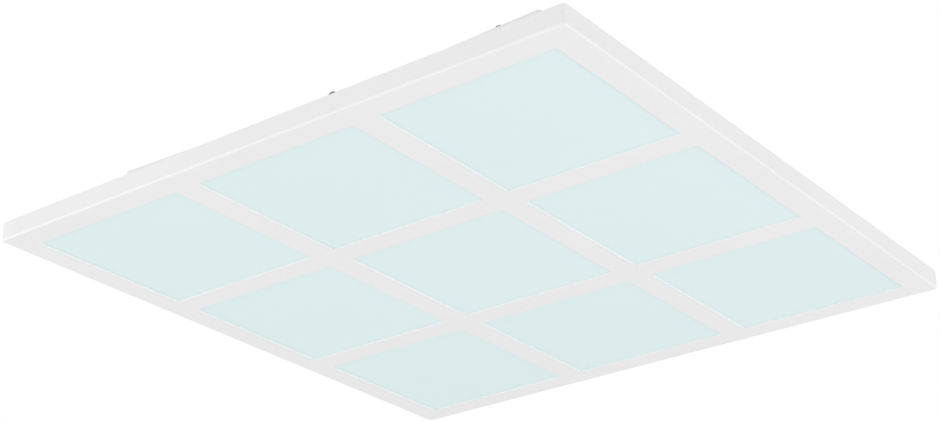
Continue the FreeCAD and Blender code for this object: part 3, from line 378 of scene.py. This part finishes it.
def moulded_plastic(name, colour, width, roughness):
    """Moulded plastic with a spark-eroded grain."""
    material = new_finish(name, colour, roughness)
    spark = grain(material, width, detail=3.0)
    vary_colour(material, grain(material, width=20 * MM), shaded(colour, 0.98), colour)
    vary_roughness(material, spark, low=roughness - 0.06, high=roughness + 0.08)
    raise_grain(material, spark, depth=0.02 * MM)
    return material


def dark_coat(name, colour):
    """Dark coat on a screw, whose fine grain is like that of a moulding."""
    return moulded_plastic(name, colour, width=0.6 * MM, roughness=0.4)


def dusty_matt(name, colour):
    """Matt and dusty surface of rubber and of pressed ferrite."""
    material = new_finish(name, colour, roughness=0.8)
    dust = grain(material, width=0.7 * MM, detail=4.0)
    vary_colour(material, dust, shaded(colour, 0.8), shaded(colour, 1.5))
    vary_roughness(material, dust, low=0.68, high=0.9)
    raise_grain(material, dust, depth=0.03 * MM)
    return material


def foam_strip(name, colour):
    """Foam strip with its pores."""
    material = new_finish(name, colour, roughness=0.9)
    pores = cells(material, width=0.8 * MM)
    vary_colour(material, pores, shaded(colour, 0.85), colour)
    vary_roughness(material, pores, low=0.82, high=0.95)
    raise_grain(material, pores, depth=0.08 * MM)
    return material


def wire_sheath(name, colour):
    """Smooth cable sheath with a faint drawn ripple."""
    material = new_finish(name, colour, roughness=0.38)
    ripple = grain(material, width=4 * MM)
    vary_colour(material, ripple, shaded(colour, 0.86), colour)
    vary_roughness(material, ripple, low=0.32, high=0.46)
    raise_grain(material, grain(material, width=0.5 * MM), depth=0.008 * MM)
    return material


def striped_sheath(name, green, yellow):
    """Earth wire sheath: green along one side and yellow along the other."""
    material = wire_sheath(name, green)
    coordinates = add_node(material, "ShaderNodeTexCoord", {}, {})
    split = add_node(material, "ShaderNodeSeparateXYZ", {}, {"Vector": coordinates.outputs["Normal"]})
    side = add_node(material, "ShaderNodeMath", {}, {0: split.outputs["X"], 1: split.outputs["Y"]})
    spread = add_node(material, "ShaderNodeMapRange", {"From Min": -1.0}, {"Value": side.outputs["Value"]})
    vary_colour(material, spread.outputs["Result"], green, yellow, low=0.56, high=0.6)
    return material


def printed_board(name, colour, track):
    """Lacquered circuit board with the copper tracks showing under the lacquer."""
    material = new_finish(name, colour, roughness=0.35)
    layout = {
        "Scale": 1.0,
        "Mortar Size": 0.35 * MM,
        "Brick Width": 9 * MM,
        "Row Height": 3 * MM,
        "Color1": BLACK,
        "Color2": (0.2, 0.2, 0.2, 1),
        "Mortar": WHITE,
    }
    bricks = add_node(material, "ShaderNodeTexBrick", layout, {"Vector": place_on_piece(material)})
    tracks = bricks.outputs["Color"]
    vary_colour(material, tracks, colour, track, low=0.2, high=0.9)
    vary_roughness(material, grain(material, width=2 * MM), low=0.28, high=0.42)
    raise_grain(material, tracks, depth=0.03 * MM)
    return material


def clear_lens(name, colour):
    """Clear moulded lens."""
    material = new_finish(name, colour, roughness=0.08)
    shader_of(material).inputs["Transmission Weight"].default_value = 0.85
    shader_of(material).inputs["IOR"].default_value = 1.49
    swirl = grain(material, width=3 * MM)
    vary_roughness(material, swirl, low=0.05, high=0.14)
    raise_grain(material, swirl, depth=0.01 * MM)
    return material


def wound_copper(name, colour, width, direction):
    """Enamelled copper wire, wound side by side, with painted shade in the grooves between the turns."""
    material = new_finish(name, colour, roughness=0.3, metallic=1.0)
    turns_and_groove_shade = stripes(material, width, direction)
    # The grooves between the turns are painted darker: painted shade, not a colour of the copper
    vary_colour(material, turns_and_groove_shade, shaded(colour, 0.55), colour)
    vary_roughness(material, grain(material, width=1 * MM), low=0.24, high=0.4)
    raise_grain(material, turns_and_groove_shade, depth=0.2 * MM)
    return material


def dress(slot, material):
    """Gives the finish to every CAD node of that slot."""
    for node in slot_nodes[slot]:
        frame["nodes"][node].material_slots[0].material = material


# Modelling by operators


def deselect_all():
    bpy.ops.object.select_all(action="DESELECT")


def make_active(piece):
    deselect_all()
    piece.select_set(True)
    bpy.context.view_layer.objects.active = piece


def deselect_mesh(piece):
    """Leaves no face, edge or corner of the piece selected."""
    for part in (piece.data.polygons, piece.data.edges, piece.data.vertices):
        part.foreach_set("select", [False] * len(part))


def turned_piece(name, rings, facets):
    """A closed round solid about Z, from rings of (radius, height) listed from one end to the other."""
    deselect_all()
    radius, height = rings[0]
    bpy.ops.mesh.primitive_circle_add(
        vertices=facets, radius=radius, fill_type="NGON", location=(0, 0, height), align="WORLD"
    )
    piece = bpy.context.active_object
    piece.name = name
    bpy.ops.object.transform_apply(location=True, rotation=True, scale=True)
    bpy.ops.object.mode_set(mode="EDIT")
    bpy.ops.mesh.select_all(action="SELECT")
    for next_radius, next_height in rings[1:]:
        rise = (0, 0, next_height - height)
        bpy.ops.mesh.extrude_region_move(TRANSFORM_OT_translate={"value": rise})
        share = next_radius / radius
        bpy.ops.transform.resize(value=(share, share, 1), center_override=(0, 0, next_height))
        radius, height = next_radius, next_height
    bpy.ops.mesh.select_all(action="SELECT")
    bpy.ops.mesh.normals_make_consistent(inside=False)
    bpy.ops.object.mode_set(mode="OBJECT")
    return piece


def thread_rings(radius, depth, pitch, start, end):
    """Rings of a thread that runs from one height to another."""
    count = max(1, round(abs(end - start) / pitch))
    step = (end - start) / count
    rings = []
    for i in range(count):
        rings.append((radius - depth, start + i * step))
        rings.append((radius, start + (i + 0.5) * step))
    rings.append((radius - depth, end))
    return rings


def carve(piece, tool, operation):
    """Cuts, joins or intersects the piece with the tool, and takes the tool away."""
    make_active(piece)
    modifier = piece.modifiers.new("carve", "BOOLEAN")
    modifier.operation = operation
    modifier.solver = "EXACT"
    modifier.object = tool
    bpy.ops.object.modifier_apply(modifier=modifier.name)
    bpy.data.objects.remove(tool)


def plain_block(low, high):
    """A block between two corners, as a tool to carve with or as a start."""
    deselect_all()
    bpy.ops.mesh.primitive_cube_add(size=1.0, location=(low + high) / 2, scale=high - low)
    bpy.ops.object.transform_apply(location=True, rotation=True, scale=True)
    return bpy.context.active_object


def rounded_block(low, high, radius):
    """A block whose edges are rounded, apart from those of its underside."""
    piece = plain_block(low, high)
    deselect_mesh(piece)
    middle = (low.z + high.z) / 2
    for edge in piece.data.edges:
        edge.select = max(piece.data.vertices[end].co.z for end in edge.vertices) > middle
    bpy.context.tool_settings.mesh_select_mode = (False, True, False)
    bpy.ops.object.mode_set(mode="EDIT")
    bpy.ops.mesh.bevel(offset=radius, segments=EDGE_FACETS, affect="EDGES")
    bpy.ops.object.mode_set(mode="OBJECT")
    return piece


def smooth(piece, angle=SMOOTH_ANGLE):
    make_active(piece)
    bpy.ops.object.shade_smooth_by_angle(angle=angle)


def joined(pieces, name):
    """The pieces as one object of that name."""
    deselect_all()
    for piece in pieces:
        piece.select_set(True)
    bpy.context.view_layer.objects.active = pieces[0]
    if len(pieces) > 1:
        bpy.ops.object.join()
    pieces[0].name = name
    pieces[0].data.name = name
    return pieces[0]


def placed_copies(pattern, name, places):
    """One piece that holds a copy of the pattern under each placing matrix."""
    copies = []
    for place in places:
        copy = pattern.copy()
        copy.data = pattern.data.copy()
        copy.data.transform(place)
        bpy.context.collection.objects.link(copy)
        copies.append(copy)
    bpy.data.objects.remove(pattern)
    return joined(copies, name)


def stand_for(piece, node, body, material):
    """The finished piece takes the place of its CAD node on the same body."""
    piece.data.materials.clear()
    piece.data.materials.append(material)
    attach(piece, body)
    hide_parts(node)


def move_to(x, y, z):
    return Matrix.Translation((x, y, z))


# Places that come from the CAD nodes


def linked_corners(start):
    """All corners that edges link to the first one, each tagged as found."""
    start.tag = True
    found = [start]
    for corner in found:
        for edge in corner.link_edges:
            other = edge.other_vert(corner)
            if not other.tag:
                other.tag = True
                found.append(other)
    return found


def solid_boxes(node):
    """The boxes of a CAD node's separate solids, as pairs of corners."""
    mesh = bmesh.new()
    mesh.from_mesh(frame["nodes"][node].data)
    mesh.transform(frame["nodes"][node].matrix_world)
    bmesh.ops.remove_doubles(mesh, verts=mesh.verts, dist=WELD)
    boxes = []
    for start in mesh.verts:
        if not start.tag:
            corners = linked_corners(start)
            low = Vector([min(corner.co[axis] for corner in corners) for axis in range(3)])
            high = Vector([max(corner.co[axis] for corner in corners) for axis in range(3)])
            boxes.append((low, high))
    mesh.free()
    return boxes


def upright_places(node):
    """A placing matrix over the middle of each solid of a CAD node, with heights kept."""
    middles = [(low + high) / 2 for low, high in solid_boxes(node)]
    return [move_to(middle.x, middle.y, 0) for middle in middles]


# Operators


class PANEL_LIGHT_OT_sheet_metal(bpy.types.Operator):
    """Paints the cover and the tray, and finishes the plate, the strap and the rails"""

    bl_idname = "panel_light.sheet_metal"
    bl_label = "Finish sheet metal"

    def execute(self, context):
        finish = context.scene.panel_light_finish
        aluminium = slot_colours["rail_aluminium"]
        dress("white_paint", powder_coat("white_paint_coat", finish.paint, finish.paint_grain))
        dress("galvanised_steel", galvanised_steel("galvanised_sheet", finish.galvanised, finish.spangle))
        dress("rail_aluminium", plated_metal("rail_extrusion", aluminium, roughness=0.4))
        return {"FINISHED"}


class PANEL_LIGHT_OT_diffuser(bpy.types.Operator):
    """Finishes the opal sheet, its gasket and the reflector behind it"""

    bl_idname = "panel_light.diffuser"
    bl_label = "Finish diffuser"

    def execute(self, context):
        finish = context.scene.panel_light_finish
        white = slot_colours["reflector_white"]
        dress("opal_sheet", opal_acrylic("opal_acrylic", finish.opal, finish.opal_grain))
        dress("foam", foam_strip("gasket_foam", slot_colours["foam"]))
        reflector = moulded_plastic("reflector_film", white, finish.opal_grain, roughness=0.6)
        dress("reflector_white", reflector)
        return {"FINISHED"}


class PANEL_LIGHT_OT_led_boards(bpy.types.Operator):
    """Finishes the LED boards, their chips, lenses and small plastic pieces"""

    bl_idname = "panel_light.led_boards"
    bl_label = "Finish LED boards"

    def execute(self, context):
        width = context.scene.panel_light_finish.moulding_grain
        white = slot_colours["board_white"]
        phosphor = slot_colours["led_phosphor"]
        nylon = slot_colours["nylon_white"]
        dress("board_white", printed_board("board_lacquer", white, shaded(white, 0.93)))
        dress("led_phosphor", moulded_plastic("led_phosphor_cap", phosphor, width, roughness=0.4))
        dress("lens_clear", clear_lens("lens_moulding", slot_colours["lens_clear"]))
        dress("nylon_white", moulded_plastic("nylon_moulding", nylon, width, roughness=0.45))
        return {"FINISHED"}


class PANEL_LIGHT_OT_driver(bpy.types.Operator):
    """Finishes the driver case and the circuit inside it"""

    bl_idname = "panel_light.driver"
    bl_label = "Finish driver"
    TAPE_GRAIN = 2 * MM
    WINDING_PITCH = 6 * MM

    def execute(self, context):
        finish = context.scene.panel_light_finish
        width = finish.moulding_grain
        black = slot_colours["switch_black"]
        green = slot_colours["circuit_green"]
        tape = slot_colours["coil_tape"]
        copper = slot_colours["copper"]
        dress("case_plastic", moulded_plastic("case_moulding", finish.case, width, roughness=0.5))
        dress("switch_black", moulded_plastic("switch_moulding", black, width, roughness=0.42))
        dress("circuit_green", printed_board("circuit_lacquer", green, finish.track))
        dress("coil_tape", moulded_plastic("coil_tape_wrap", tape, self.TAPE_GRAIN, roughness=0.3))
        dress("ferrite", dusty_matt("ferrite_core", slot_colours["ferrite"]))
        dress("copper", wound_copper("choke_winding", copper, self.WINDING_PITCH, direction="X"))
        dress("can_aluminium", plated_metal("capacitor_can", slot_colours["can_aluminium"], roughness=0.3))
        return {"FINISHED"}


class PANEL_LIGHT_OT_terminal(bpy.types.Operator):
    """Models the terminal block, and finishes its release buttons and its contacts"""

    bl_idname = "panel_light.terminal"
    bl_label = "Model terminal block"
    BUTTONS = ("terminal_button_1", "terminal_button_2", "terminal_button_3")

    def tabs(self, sizes, low, high):
        """The two screw tabs, each reaching a little into the housing."""
        middle = (low + high) / 2
        inner = sizes.terminal_width / 2 - sizes.terminal_edge
        top = low.z + sizes.tab_thickness
        front = middle.y - sizes.tab_width / 2
        back = middle.y + sizes.tab_width / 2
        spans = ((low.x, middle.x - inner), (middle.x + inner, high.x))
        return [
            rounded_block(Vector((left, front, low.z)), Vector((right, back, top)), sizes.terminal_edge / 2)
            for left, right in spans
        ]

    def tab_holes(self, sizes, low, high):
        """A screw hole in the middle of each tab."""
        middle = (low + high) / 2
        reach = (sizes.terminal_width / 2 + (high.x - low.x) / 2) / 2
        radius = sizes.tab_hole_radius
        rings = [(radius, low.z - PAST), (radius, low.z + 2 * sizes.tab_thickness)]
        holes = []
        for side in (-1, 1):
            hole = turned_piece("tab_hole", rings, HOLE_FACETS)
            hole.data.transform(move_to(middle.x + side * reach, middle.y, 0))
            holes.append(hole)
        return holes

    def pole_holes(self, sizes, low, high, button):
        """The well of a button, the flared entry in front of it and the wire hole behind it."""
        button_low, button_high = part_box(button)
        gap = Vector((sizes.button_gap, sizes.button_gap, 0))
        level = low.z + sizes.pole_level
        well_low = button_low - gap
        well_low.z = level - sizes.entry_radius
        well = plain_block(well_low, button_high + gap)
        x = (button_low.x + button_high.x) / 2
        mouth = sizes.entry_radius + sizes.entry_flare
        entry_rings = [
            (mouth, -PAST),
            (mouth, 0),
            (sizes.entry_radius, sizes.entry_flare),
            (sizes.entry_radius, sizes.entry_depth),
        ]
        entry = turned_piece("entry", entry_rings, ENTRY_FACETS)
        entry.data.transform(move_to(x, low.y, level) @ Matrix.Rotation(-QUARTER_TURN, 4, "X"))
        wire_rings = [(sizes.wire_radius, -PAST), (sizes.wire_radius, sizes.entry_depth)]
        wire_hole = turned_piece("wire_hole", wire_rings, ENTRY_FACETS)
        wire_hole.data.transform(move_to(x, high.y, level) @ Matrix.Rotation(QUARTER_TURN, 4, "X"))
        return [well, entry, wire_hole]

    def grooves(self, sizes, low, high):
        """Grooves between the poles, over the top and down the front."""
        lines = [sum(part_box(button), Vector()).x / 2 for button in self.BUTTONS]
        half = sizes.groove_width / 2
        front = low.y - PAST
        top = high.z + PAST
        tools = []
        for left, right in zip(lines, lines[1:]):
            x = (left + right) / 2
            top_low = Vector((x - half, front, high.z - sizes.groove_depth))
            front_low = Vector((x - half, front, low.z + sizes.groove_depth))
            tools.append(plain_block(top_low, Vector((x + half, high.y + PAST, top))))
            tools.append(plain_block(front_low, Vector((x + half, low.y + sizes.groove_depth, top))))
        return tools

    def housing(self, sizes):
        """The rounded housing with its tabs, holes and grooves."""
        low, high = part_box("terminal_block")
        side = Vector(((high.x - low.x - sizes.terminal_width) / 2, 0, 0))
        housing = rounded_block(low + side, high - side, sizes.terminal_edge)
        for tab in self.tabs(sizes, low, high):
            carve(housing, tab, "UNION")
        for button in self.BUTTONS:
            for tool in self.pole_holes(sizes, low, high, button):
                carve(housing, tool, "DIFFERENCE")
        for tool in self.tab_holes(sizes, low, high) + self.grooves(sizes, low, high):
            carve(housing, tool, "DIFFERENCE")
        return housing

    def execute(self, context):
        finish = context.scene.panel_light_finish
        width = finish.moulding_grain
        grey = moulded_plastic("terminal_moulding", finish.terminal, width, roughness=0.45)
        dress("terminal_grey", grey)
        dress("button_orange", moulded_plastic("button_moulding", finish.button, width, roughness=0.35))
        dress("brass", plated_metal("brass_turned", slot_colours["brass"], roughness=0.3))
        housing = joined([self.housing(context.scene.panel_light_fittings)], "terminal_housing")
        smooth(housing)
        stand_for(housing, "terminal_block", BODY, grey)
        return {"FINISHED"}


class PANEL_LIGHT_OT_wires(bpy.types.Operator):
    """Finishes the wires, the grommet and the rim buffers"""

    bl_idname = "panel_light.wires"
    bl_label = "Finish wires"

    def execute(self, context):
        for slot in ("red_wire", "black_wire", "brown_wire", "blue_wire"):
            dress(slot, wire_sheath(slot + "_sheath", slot_colours[slot]))
        yellow = context.scene.panel_light_finish.earth_stripe
        dress("green_wire", striped_sheath("earth_wire_sheath", slot_colours["green_wire"], yellow))
        dress("black_rubber", dusty_matt("black_rubber_moulding", slot_colours["black_rubber"]))
        dress("grey_rubber", dusty_matt("grey_rubber_buffer", slot_colours["grey_rubber"]))
        return {"FINISHED"}


class PANEL_LIGHT_OT_wire_saddles(bpy.types.Operator):
    """Models the rounded saddles that hold the supply wires on the tray floor"""

    bl_idname = "panel_light.wire_saddles"
    bl_label = "Model wire saddles"

    def saddle(self, sizes, low, high):
        """A rounded block with two ways for wires, which run along its shorter side."""
        saddle = rounded_block(low, high, sizes.saddle_edge_radius)
        side = high - low
        middle = (low + high) / 2
        along_y = side.y < side.x
        reach = max(side.x, side.y) / 2 - sizes.saddle_margin
        rings = [(sizes.wire_radius, -side.length), (sizes.wire_radius, side.length)]
        for shift in (-reach, reach):
            way = turned_piece("wire_way", rings, HOLE_FACETS)
            turn = Matrix.Rotation(QUARTER_TURN, 4, "X" if along_y else "Y")
            offset = Vector((shift, 0, 0)) if along_y else Vector((0, shift, 0))
            place = Vector((middle.x, middle.y, low.z + sizes.saddle_level)) + offset
            way.data.transform(move_to(*place) @ turn)
            carve(saddle, way, "DIFFERENCE")
        return saddle

    def execute(self, context):
        sizes = context.scene.panel_light_fittings
        saddles = [self.saddle(sizes, low, high) for low, high in solid_boxes("wire_saddles")]
        piece = joined(saddles, "wire_saddles_rounded")
        smooth(piece)
        stand_for(piece, "wire_saddles", BODY, bpy.data.materials["nylon_moulding"])
        return {"FINISHED"}


class PANEL_LIGHT_OT_studs_and_nuts(bpy.types.Operator):
    """Models the threaded studs and the chamfered nuts"""

    bl_idname = "panel_light.studs_and_nuts"
    bl_label = "Model studs and nuts"
    NUT_CHAMFER_ANGLE = math.radians(30)
    # How far a nut is turned on its stud
    NUT_TURN = math.radians(30)

    def stud(self, sizes, flange_height, low, high):
        """A threaded stud with a pointed end, on a flange where it has one."""
        root = sizes.stud_radius - sizes.thread_depth
        tip = sizes.thread_pitch / 2
        start = low + flange_height
        rings = []
        if flange_height > 0:
            rings = [(sizes.stud_flange_radius, low), (sizes.stud_flange_radius, start)]
        rings += thread_rings(sizes.stud_radius, sizes.thread_depth, sizes.thread_pitch, start, high - tip)
        rings.append((root - tip, high))
        return turned_piece("stud", rings, STUD_FACETS)

    def nut(self, sizes, low, high):
        """A hexagon nut with turned-off corners and a threaded bore."""
        flat = sizes.nut_width / 2
        corner = sizes.nut_width / math.sqrt(3)
        bevel = (corner - flat) * math.tan(self.NUT_CHAMFER_ANGLE)
        deselect_all()
        bpy.ops.mesh.primitive_cylinder_add(
            vertices=6, radius=corner, depth=high - low, location=(0, 0, (low + high) / 2),
            rotation=(0, 0, self.NUT_TURN),
        )
        nut = bpy.context.active_object
        bpy.ops.object.transform_apply(location=True, rotation=True, scale=True)
        turned = [(flat, low), (corner, low + bevel), (corner, high - bevel), (flat, high)]
        carve(nut, turned_piece("barrel", turned, NUT_FACETS), "INTERSECT")
        bore = sizes.stud_radius + sizes.nut_bore_gap
        past = sizes.thread_pitch
        thread = thread_rings(bore, sizes.thread_depth, sizes.thread_pitch, low - past, high + past)
        carve(nut, turned_piece("bore", thread, STUD_FACETS), "DIFFERENCE")
        return nut

    def execute(self, context):
        sizes = context.scene.panel_light_fasteners
        zinc = plated_metal("zinc_plating", context.scene.panel_light_finish.zinc, roughness=0.32)
        dress("zinc_steel", zinc)
        for node, flange in (("cover_studs", sizes.stud_flange_height), ("earth_stud", 0.0)):
            low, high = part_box(node)
            stud = self.stud(sizes, flange, low.z, high.z)
            studs = placed_copies(stud, node + "_threaded", upright_places(node))
            smooth(studs)
            stand_for(studs, node, BODY, zinc)
        for node in ("cover_nuts", "earth_nut"):
            low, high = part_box(node)
            nuts = placed_copies(self.nut(sizes, low.z, high.z), node + "_chamfered", upright_places(node))
            smooth(nuts)
            stand_for(nuts, node, BODY, zinc)
        return {"FINISHED"}


class PANEL_LIGHT_OT_rivets(bpy.types.Operator):
    """Models the blind rivets that join the tray to the back plate"""

    bl_idname = "panel_light.rivets"
    bl_label = "Model rivets"

    def rivet(self, sizes):
        """A rivet from its tail under the plate to the hollow left by its pin in the domed head."""
        low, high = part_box("tray_rivets")
        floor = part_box("driver_base")[0].z
        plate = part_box("back_plate")[0].z
        head = sizes.rivet_head_radius
        rise = high.z - floor
        rings = [
            (sizes.rivet_tail_radius, low.z),
            (sizes.rivet_tail_radius, plate),
            (sizes.rivet_shank_radius, plate),
            (sizes.rivet_shank_radius, floor),
            (head, floor),
        ]
        for i in range(1, DOME_FACETS):
            angle = QUARTER_TURN * i / DOME_FACETS
            rings.append((head * math.cos(angle), floor + rise * math.sin(angle)))
        rings.append((sizes.rivet_pin_radius, high.z))
        rings.append((sizes.rivet_pin_radius, high.z - rise / 2))
        return turned_piece("rivet", rings, RIVET_FACETS)

    def execute(self, context):
        rivet = self.rivet(context.scene.panel_light_fasteners)
        rivets = placed_copies(rivet, "tray_rivets_domed", upright_places("tray_rivets"))
        smooth(rivets, DOME_SMOOTH_ANGLE)
        stand_for(rivets, "tray_rivets", BODY, bpy.data.materials["zinc_plating"])
        return {"FINISHED"}


class PANEL_LIGHT_OT_thumb_screws(bpy.types.Operator):
    """Models the two knurled thumb screws"""

    bl_idname = "panel_light.thumb_screws"
    bl_label = "Model thumb screws"
    # Facets from one flute of the knurl to the next
    FLUTE_STEP = 4
    # Corners farther out than this share of the head's radius are on its side
    RIM_SHARE = 0.8

    def knurl(self, screw, depth, head_radius, low, high):
        """Draws the edges of the head inwards that lie where its flutes are."""
        pitch = 2 * math.pi / SCREW_FACETS
        deselect_mesh(screw)
        for vertex in screw.data.vertices:
            on_side = vertex.co.xy.length > self.RIM_SHARE * head_radius and low <= vertex.co.z <= high
            number = round(math.atan2(vertex.co.y, vertex.co.x) / pitch)
            vertex.select = on_side and number % self.FLUTE_STEP == 0
        make_active(screw)
        bpy.ops.object.mode_set(mode="EDIT")
        bpy.ops.mesh.select_mode(type="VERT")
        share = 1 - depth / head_radius
        bpy.ops.transform.resize(value=(share, share, 1), center_override=(0, 0, 0))
        bpy.ops.object.mode_set(mode="OBJECT")

    def screw(self, sizes, length, head_radius):
        """A thumb screw that points along Z, with its thread's tip at the origin."""
        seat = length - sizes.thumb_head_length
        shank = sizes.thumb_shank_radius
        root = shank - sizes.thread_depth
        chamfer = sizes.thumb_chamfer
        neck = seat - sizes.thread_pitch
        rings = [(root - sizes.thread_depth, 0.0)]
        rings += thread_rings(shank, sizes.thread_depth, sizes.thread_pitch, sizes.thread_pitch / 2, neck)
        rings += [
            (root, seat),
            (head_radius - chamfer, seat),
            (head_radius, seat + chamfer),
            (head_radius, length - chamfer),
            (head_radius - chamfer, length),
        ]
        screw = turned_piece("thumb_screw", rings, SCREW_FACETS)
        self.knurl(screw, sizes.knurl_depth, head_radius, seat + chamfer / 2, length - chamfer / 2)
        reach = Vector((head_radius + PAST, sizes.slot_width / 2, sizes.slot_depth))
        end = Vector((0, 0, length))
        carve(screw, plain_block(end - reach, end + reach), "DIFFERENCE")
        return screw

    def execute(self, context):
        sizes = context.scene.panel_light_fasteners
        dark = dark_coat("dark_screw_finish", context.scene.panel_light_finish.screw)
        dress("black_metal", dark)
        for name, node, body, half_turn in (
            ("front_thumb_screw_knurled", "thumb_screw_front", "front_thumb_screw", 0),
            ("back_thumb_screw_knurled", "thumb_screw_back", "back_thumb_screw", math.pi),
        ):
            low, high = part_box(node)
            middle = (low + high) / 2
            length = high.y - low.y
            tip = high.y if half_turn == 0 else low.y
            turn = Matrix.Rotation(half_turn, 4, "Z") @ Matrix.Rotation(QUARTER_TURN, 4, "X")
            place = move_to(middle.x, tip, middle.z) @ turn
            screw = placed_copies(self.screw(sizes, length, (high.x - low.x) / 2), name, [place])
            smooth(screw)
            stand_for(screw, node, body, dark)
        return {"FINISHED"}


class PANEL_LIGHT_OT_stage(bpy.types.Operator):
    """Sets up the floor, the lamps, the white surroundings and the camera"""

    bl_idname = "panel_light.stage"
    bl_label = "Set the stage"

    def floor(self, stage):
        deselect_all()
        bpy.ops.mesh.primitive_plane_add(size=stage.floor_side, location=(0, 0, stage.floor_level))
        floor = bpy.context.active_object
        floor.name = "studio_floor"
        material = new_finish("studio_floor_paint", stage.floor_colour, roughness=0.7)
        drift = grain(material, width=2.0, detail=1.0)
        vary_colour(material, drift, shaded(stage.floor_colour, 0.99), stage.floor_colour)
        floor.data.materials.append(material)

    def surroundings(self, scene, stage):
        """Plain white where the camera or a reflection looks, and soft even light elsewhere."""
        world = bpy.data.worlds.new("studio_light")
        world.use_nodes = True
        world.node_tree.nodes.clear()
        path = add_node(world, "ShaderNodeLightPath", {}, {})
        seen = path.outputs["Is Camera Ray"]
        for ray in ("Is Glossy Ray", "Is Transmission Ray"):
            either = add_node(world, "ShaderNodeMath", {}, {0: seen, 1: path.outputs[ray]})
            either.operation = "MAXIMUM"
            seen = either.outputs["Value"]
        light = add_node(world, "ShaderNodeBackground", {"Color": WHITE, "Strength": stage.sky_light}, {})
        white = add_node(world, "ShaderNodeBackground", {"Color": WHITE, "Strength": 1.0}, {})
        choices = {"Fac": seen, 1: light.outputs["Background"], 2: white.outputs["Background"]}
        mix = add_node(world, "ShaderNodeMixShader", {}, choices)
        add_node(world, "ShaderNodeOutputWorld", {}, {"Surface": mix.outputs["Shader"]})
        scene.world = world

    def lamp(self, name, place, side, power):
        """A soft square lamp that faces the light."""
        deselect_all()
        bpy.ops.object.light_add(type="AREA", location=place)
        lamp = bpy.context.active_object
        lamp.name = name
        lamp.data.size = side
        lamp.data.energy = power
        lamp.visible_camera = False
        target = Vector((0, 0, cad_box[0].z))
        lamp.rotation_euler = (target - Vector(place)).to_track_quat("-Z", "Y").to_euler()

    def sun(self, stage):
        """A soft sun straight above, whose light also comes back up from the floor."""
        deselect_all()
        bpy.ops.object.light_add(type="SUN", location=SUN_PLACE)
        sun = bpy.context.active_object
        sun.name = "sun_lamp"
        sun.data.energy = stage.sun_strength
        sun.data.angle = stage.sun_spread
        sun.visible_glossy = False

    def camera(self, scene, stage):
        deselect_all()
        bpy.ops.object.camera_add(location=stage.camera_place, rotation=stage.camera_turn)
        camera = bpy.context.active_object
        camera.data.lens = stage.lens
        camera.data.sensor_width = SENSOR_WIDTH
        camera.data.dof.use_dof = False
        scene.camera = camera

    def execute(self, context):
        scene = context.scene
        stage = scene.panel_light_stage
        self.floor(stage)
        self.surroundings(scene, stage)
        for name, place, side, power in LAMPS:
            self.lamp(name, place, side, getattr(stage, power))
        self.sun(stage)
        self.camera(scene, stage)
        scene.view_settings.view_transform = "Standard"
        return {"FINISHED"}


class PANEL_LIGHT_PT_sidebar(bpy.types.Panel):
    """Lists the steps and the settings in the sidebar"""

    bl_label = "Panel light"
    bl_idname = "PANEL_LIGHT_PT_sidebar"
    bl_space_type = "VIEW_3D"
    bl_region_type = "UI"
    bl_category = "Panel light"

    def draw(self, context):
        for operator in operators:
            self.layout.operator(operator.bl_idname)
        for group in settings_groups:
            settings = getattr(context.scene, group)
            for name in settings.__annotations__:
                self.layout.prop(settings, name)


# Registering and running


operators = (
    PANEL_LIGHT_OT_sheet_metal,
    PANEL_LIGHT_OT_diffuser,
    PANEL_LIGHT_OT_led_boards,
    PANEL_LIGHT_OT_driver,
    PANEL_LIGHT_OT_terminal,
    PANEL_LIGHT_OT_wires,
    PANEL_LIGHT_OT_wire_saddles,
    PANEL_LIGHT_OT_studs_and_nuts,
    PANEL_LIGHT_OT_rivets,
    PANEL_LIGHT_OT_thumb_screws,
    PANEL_LIGHT_OT_stage,
)
settings_groups = {
    "panel_light_finish": FinishSettings,
    "panel_light_fasteners": FastenerSettings,
    "panel_light_fittings": FittingSettings,
    "panel_light_stage": StageSettings,
}


def register():
    for group, settings in settings_groups.items():
        bpy.utils.register_class(settings)
        setattr(bpy.types.Scene, group, bpy.props.PointerProperty(type=settings))
    for operator in operators:
        bpy.utils.register_class(operator)
    bpy.utils.register_class(PANEL_LIGHT_PT_sidebar)


def unregister():
    bpy.utils.unregister_class(PANEL_LIGHT_PT_sidebar)
    for operator in reversed(operators):
        bpy.utils.unregister_class(operator)
    for group, settings in settings_groups.items():
        delattr(bpy.types.Scene, group)
        bpy.utils.unregister_class(settings)


def main():
    register()
    bpy.ops.panel_light.sheet_metal()
    bpy.ops.panel_light.diffuser()
    bpy.ops.panel_light.led_boards()
    bpy.ops.panel_light.driver()
    bpy.ops.panel_light.terminal()
    bpy.ops.panel_light.wires()
    bpy.ops.panel_light.wire_saddles()
    bpy.ops.panel_light.studs_and_nuts()
    bpy.ops.panel_light.rivets()
    bpy.ops.panel_light.thumb_screws()
    bpy.ops.panel_light.stage()


if __name__ == "__main__":
    main()
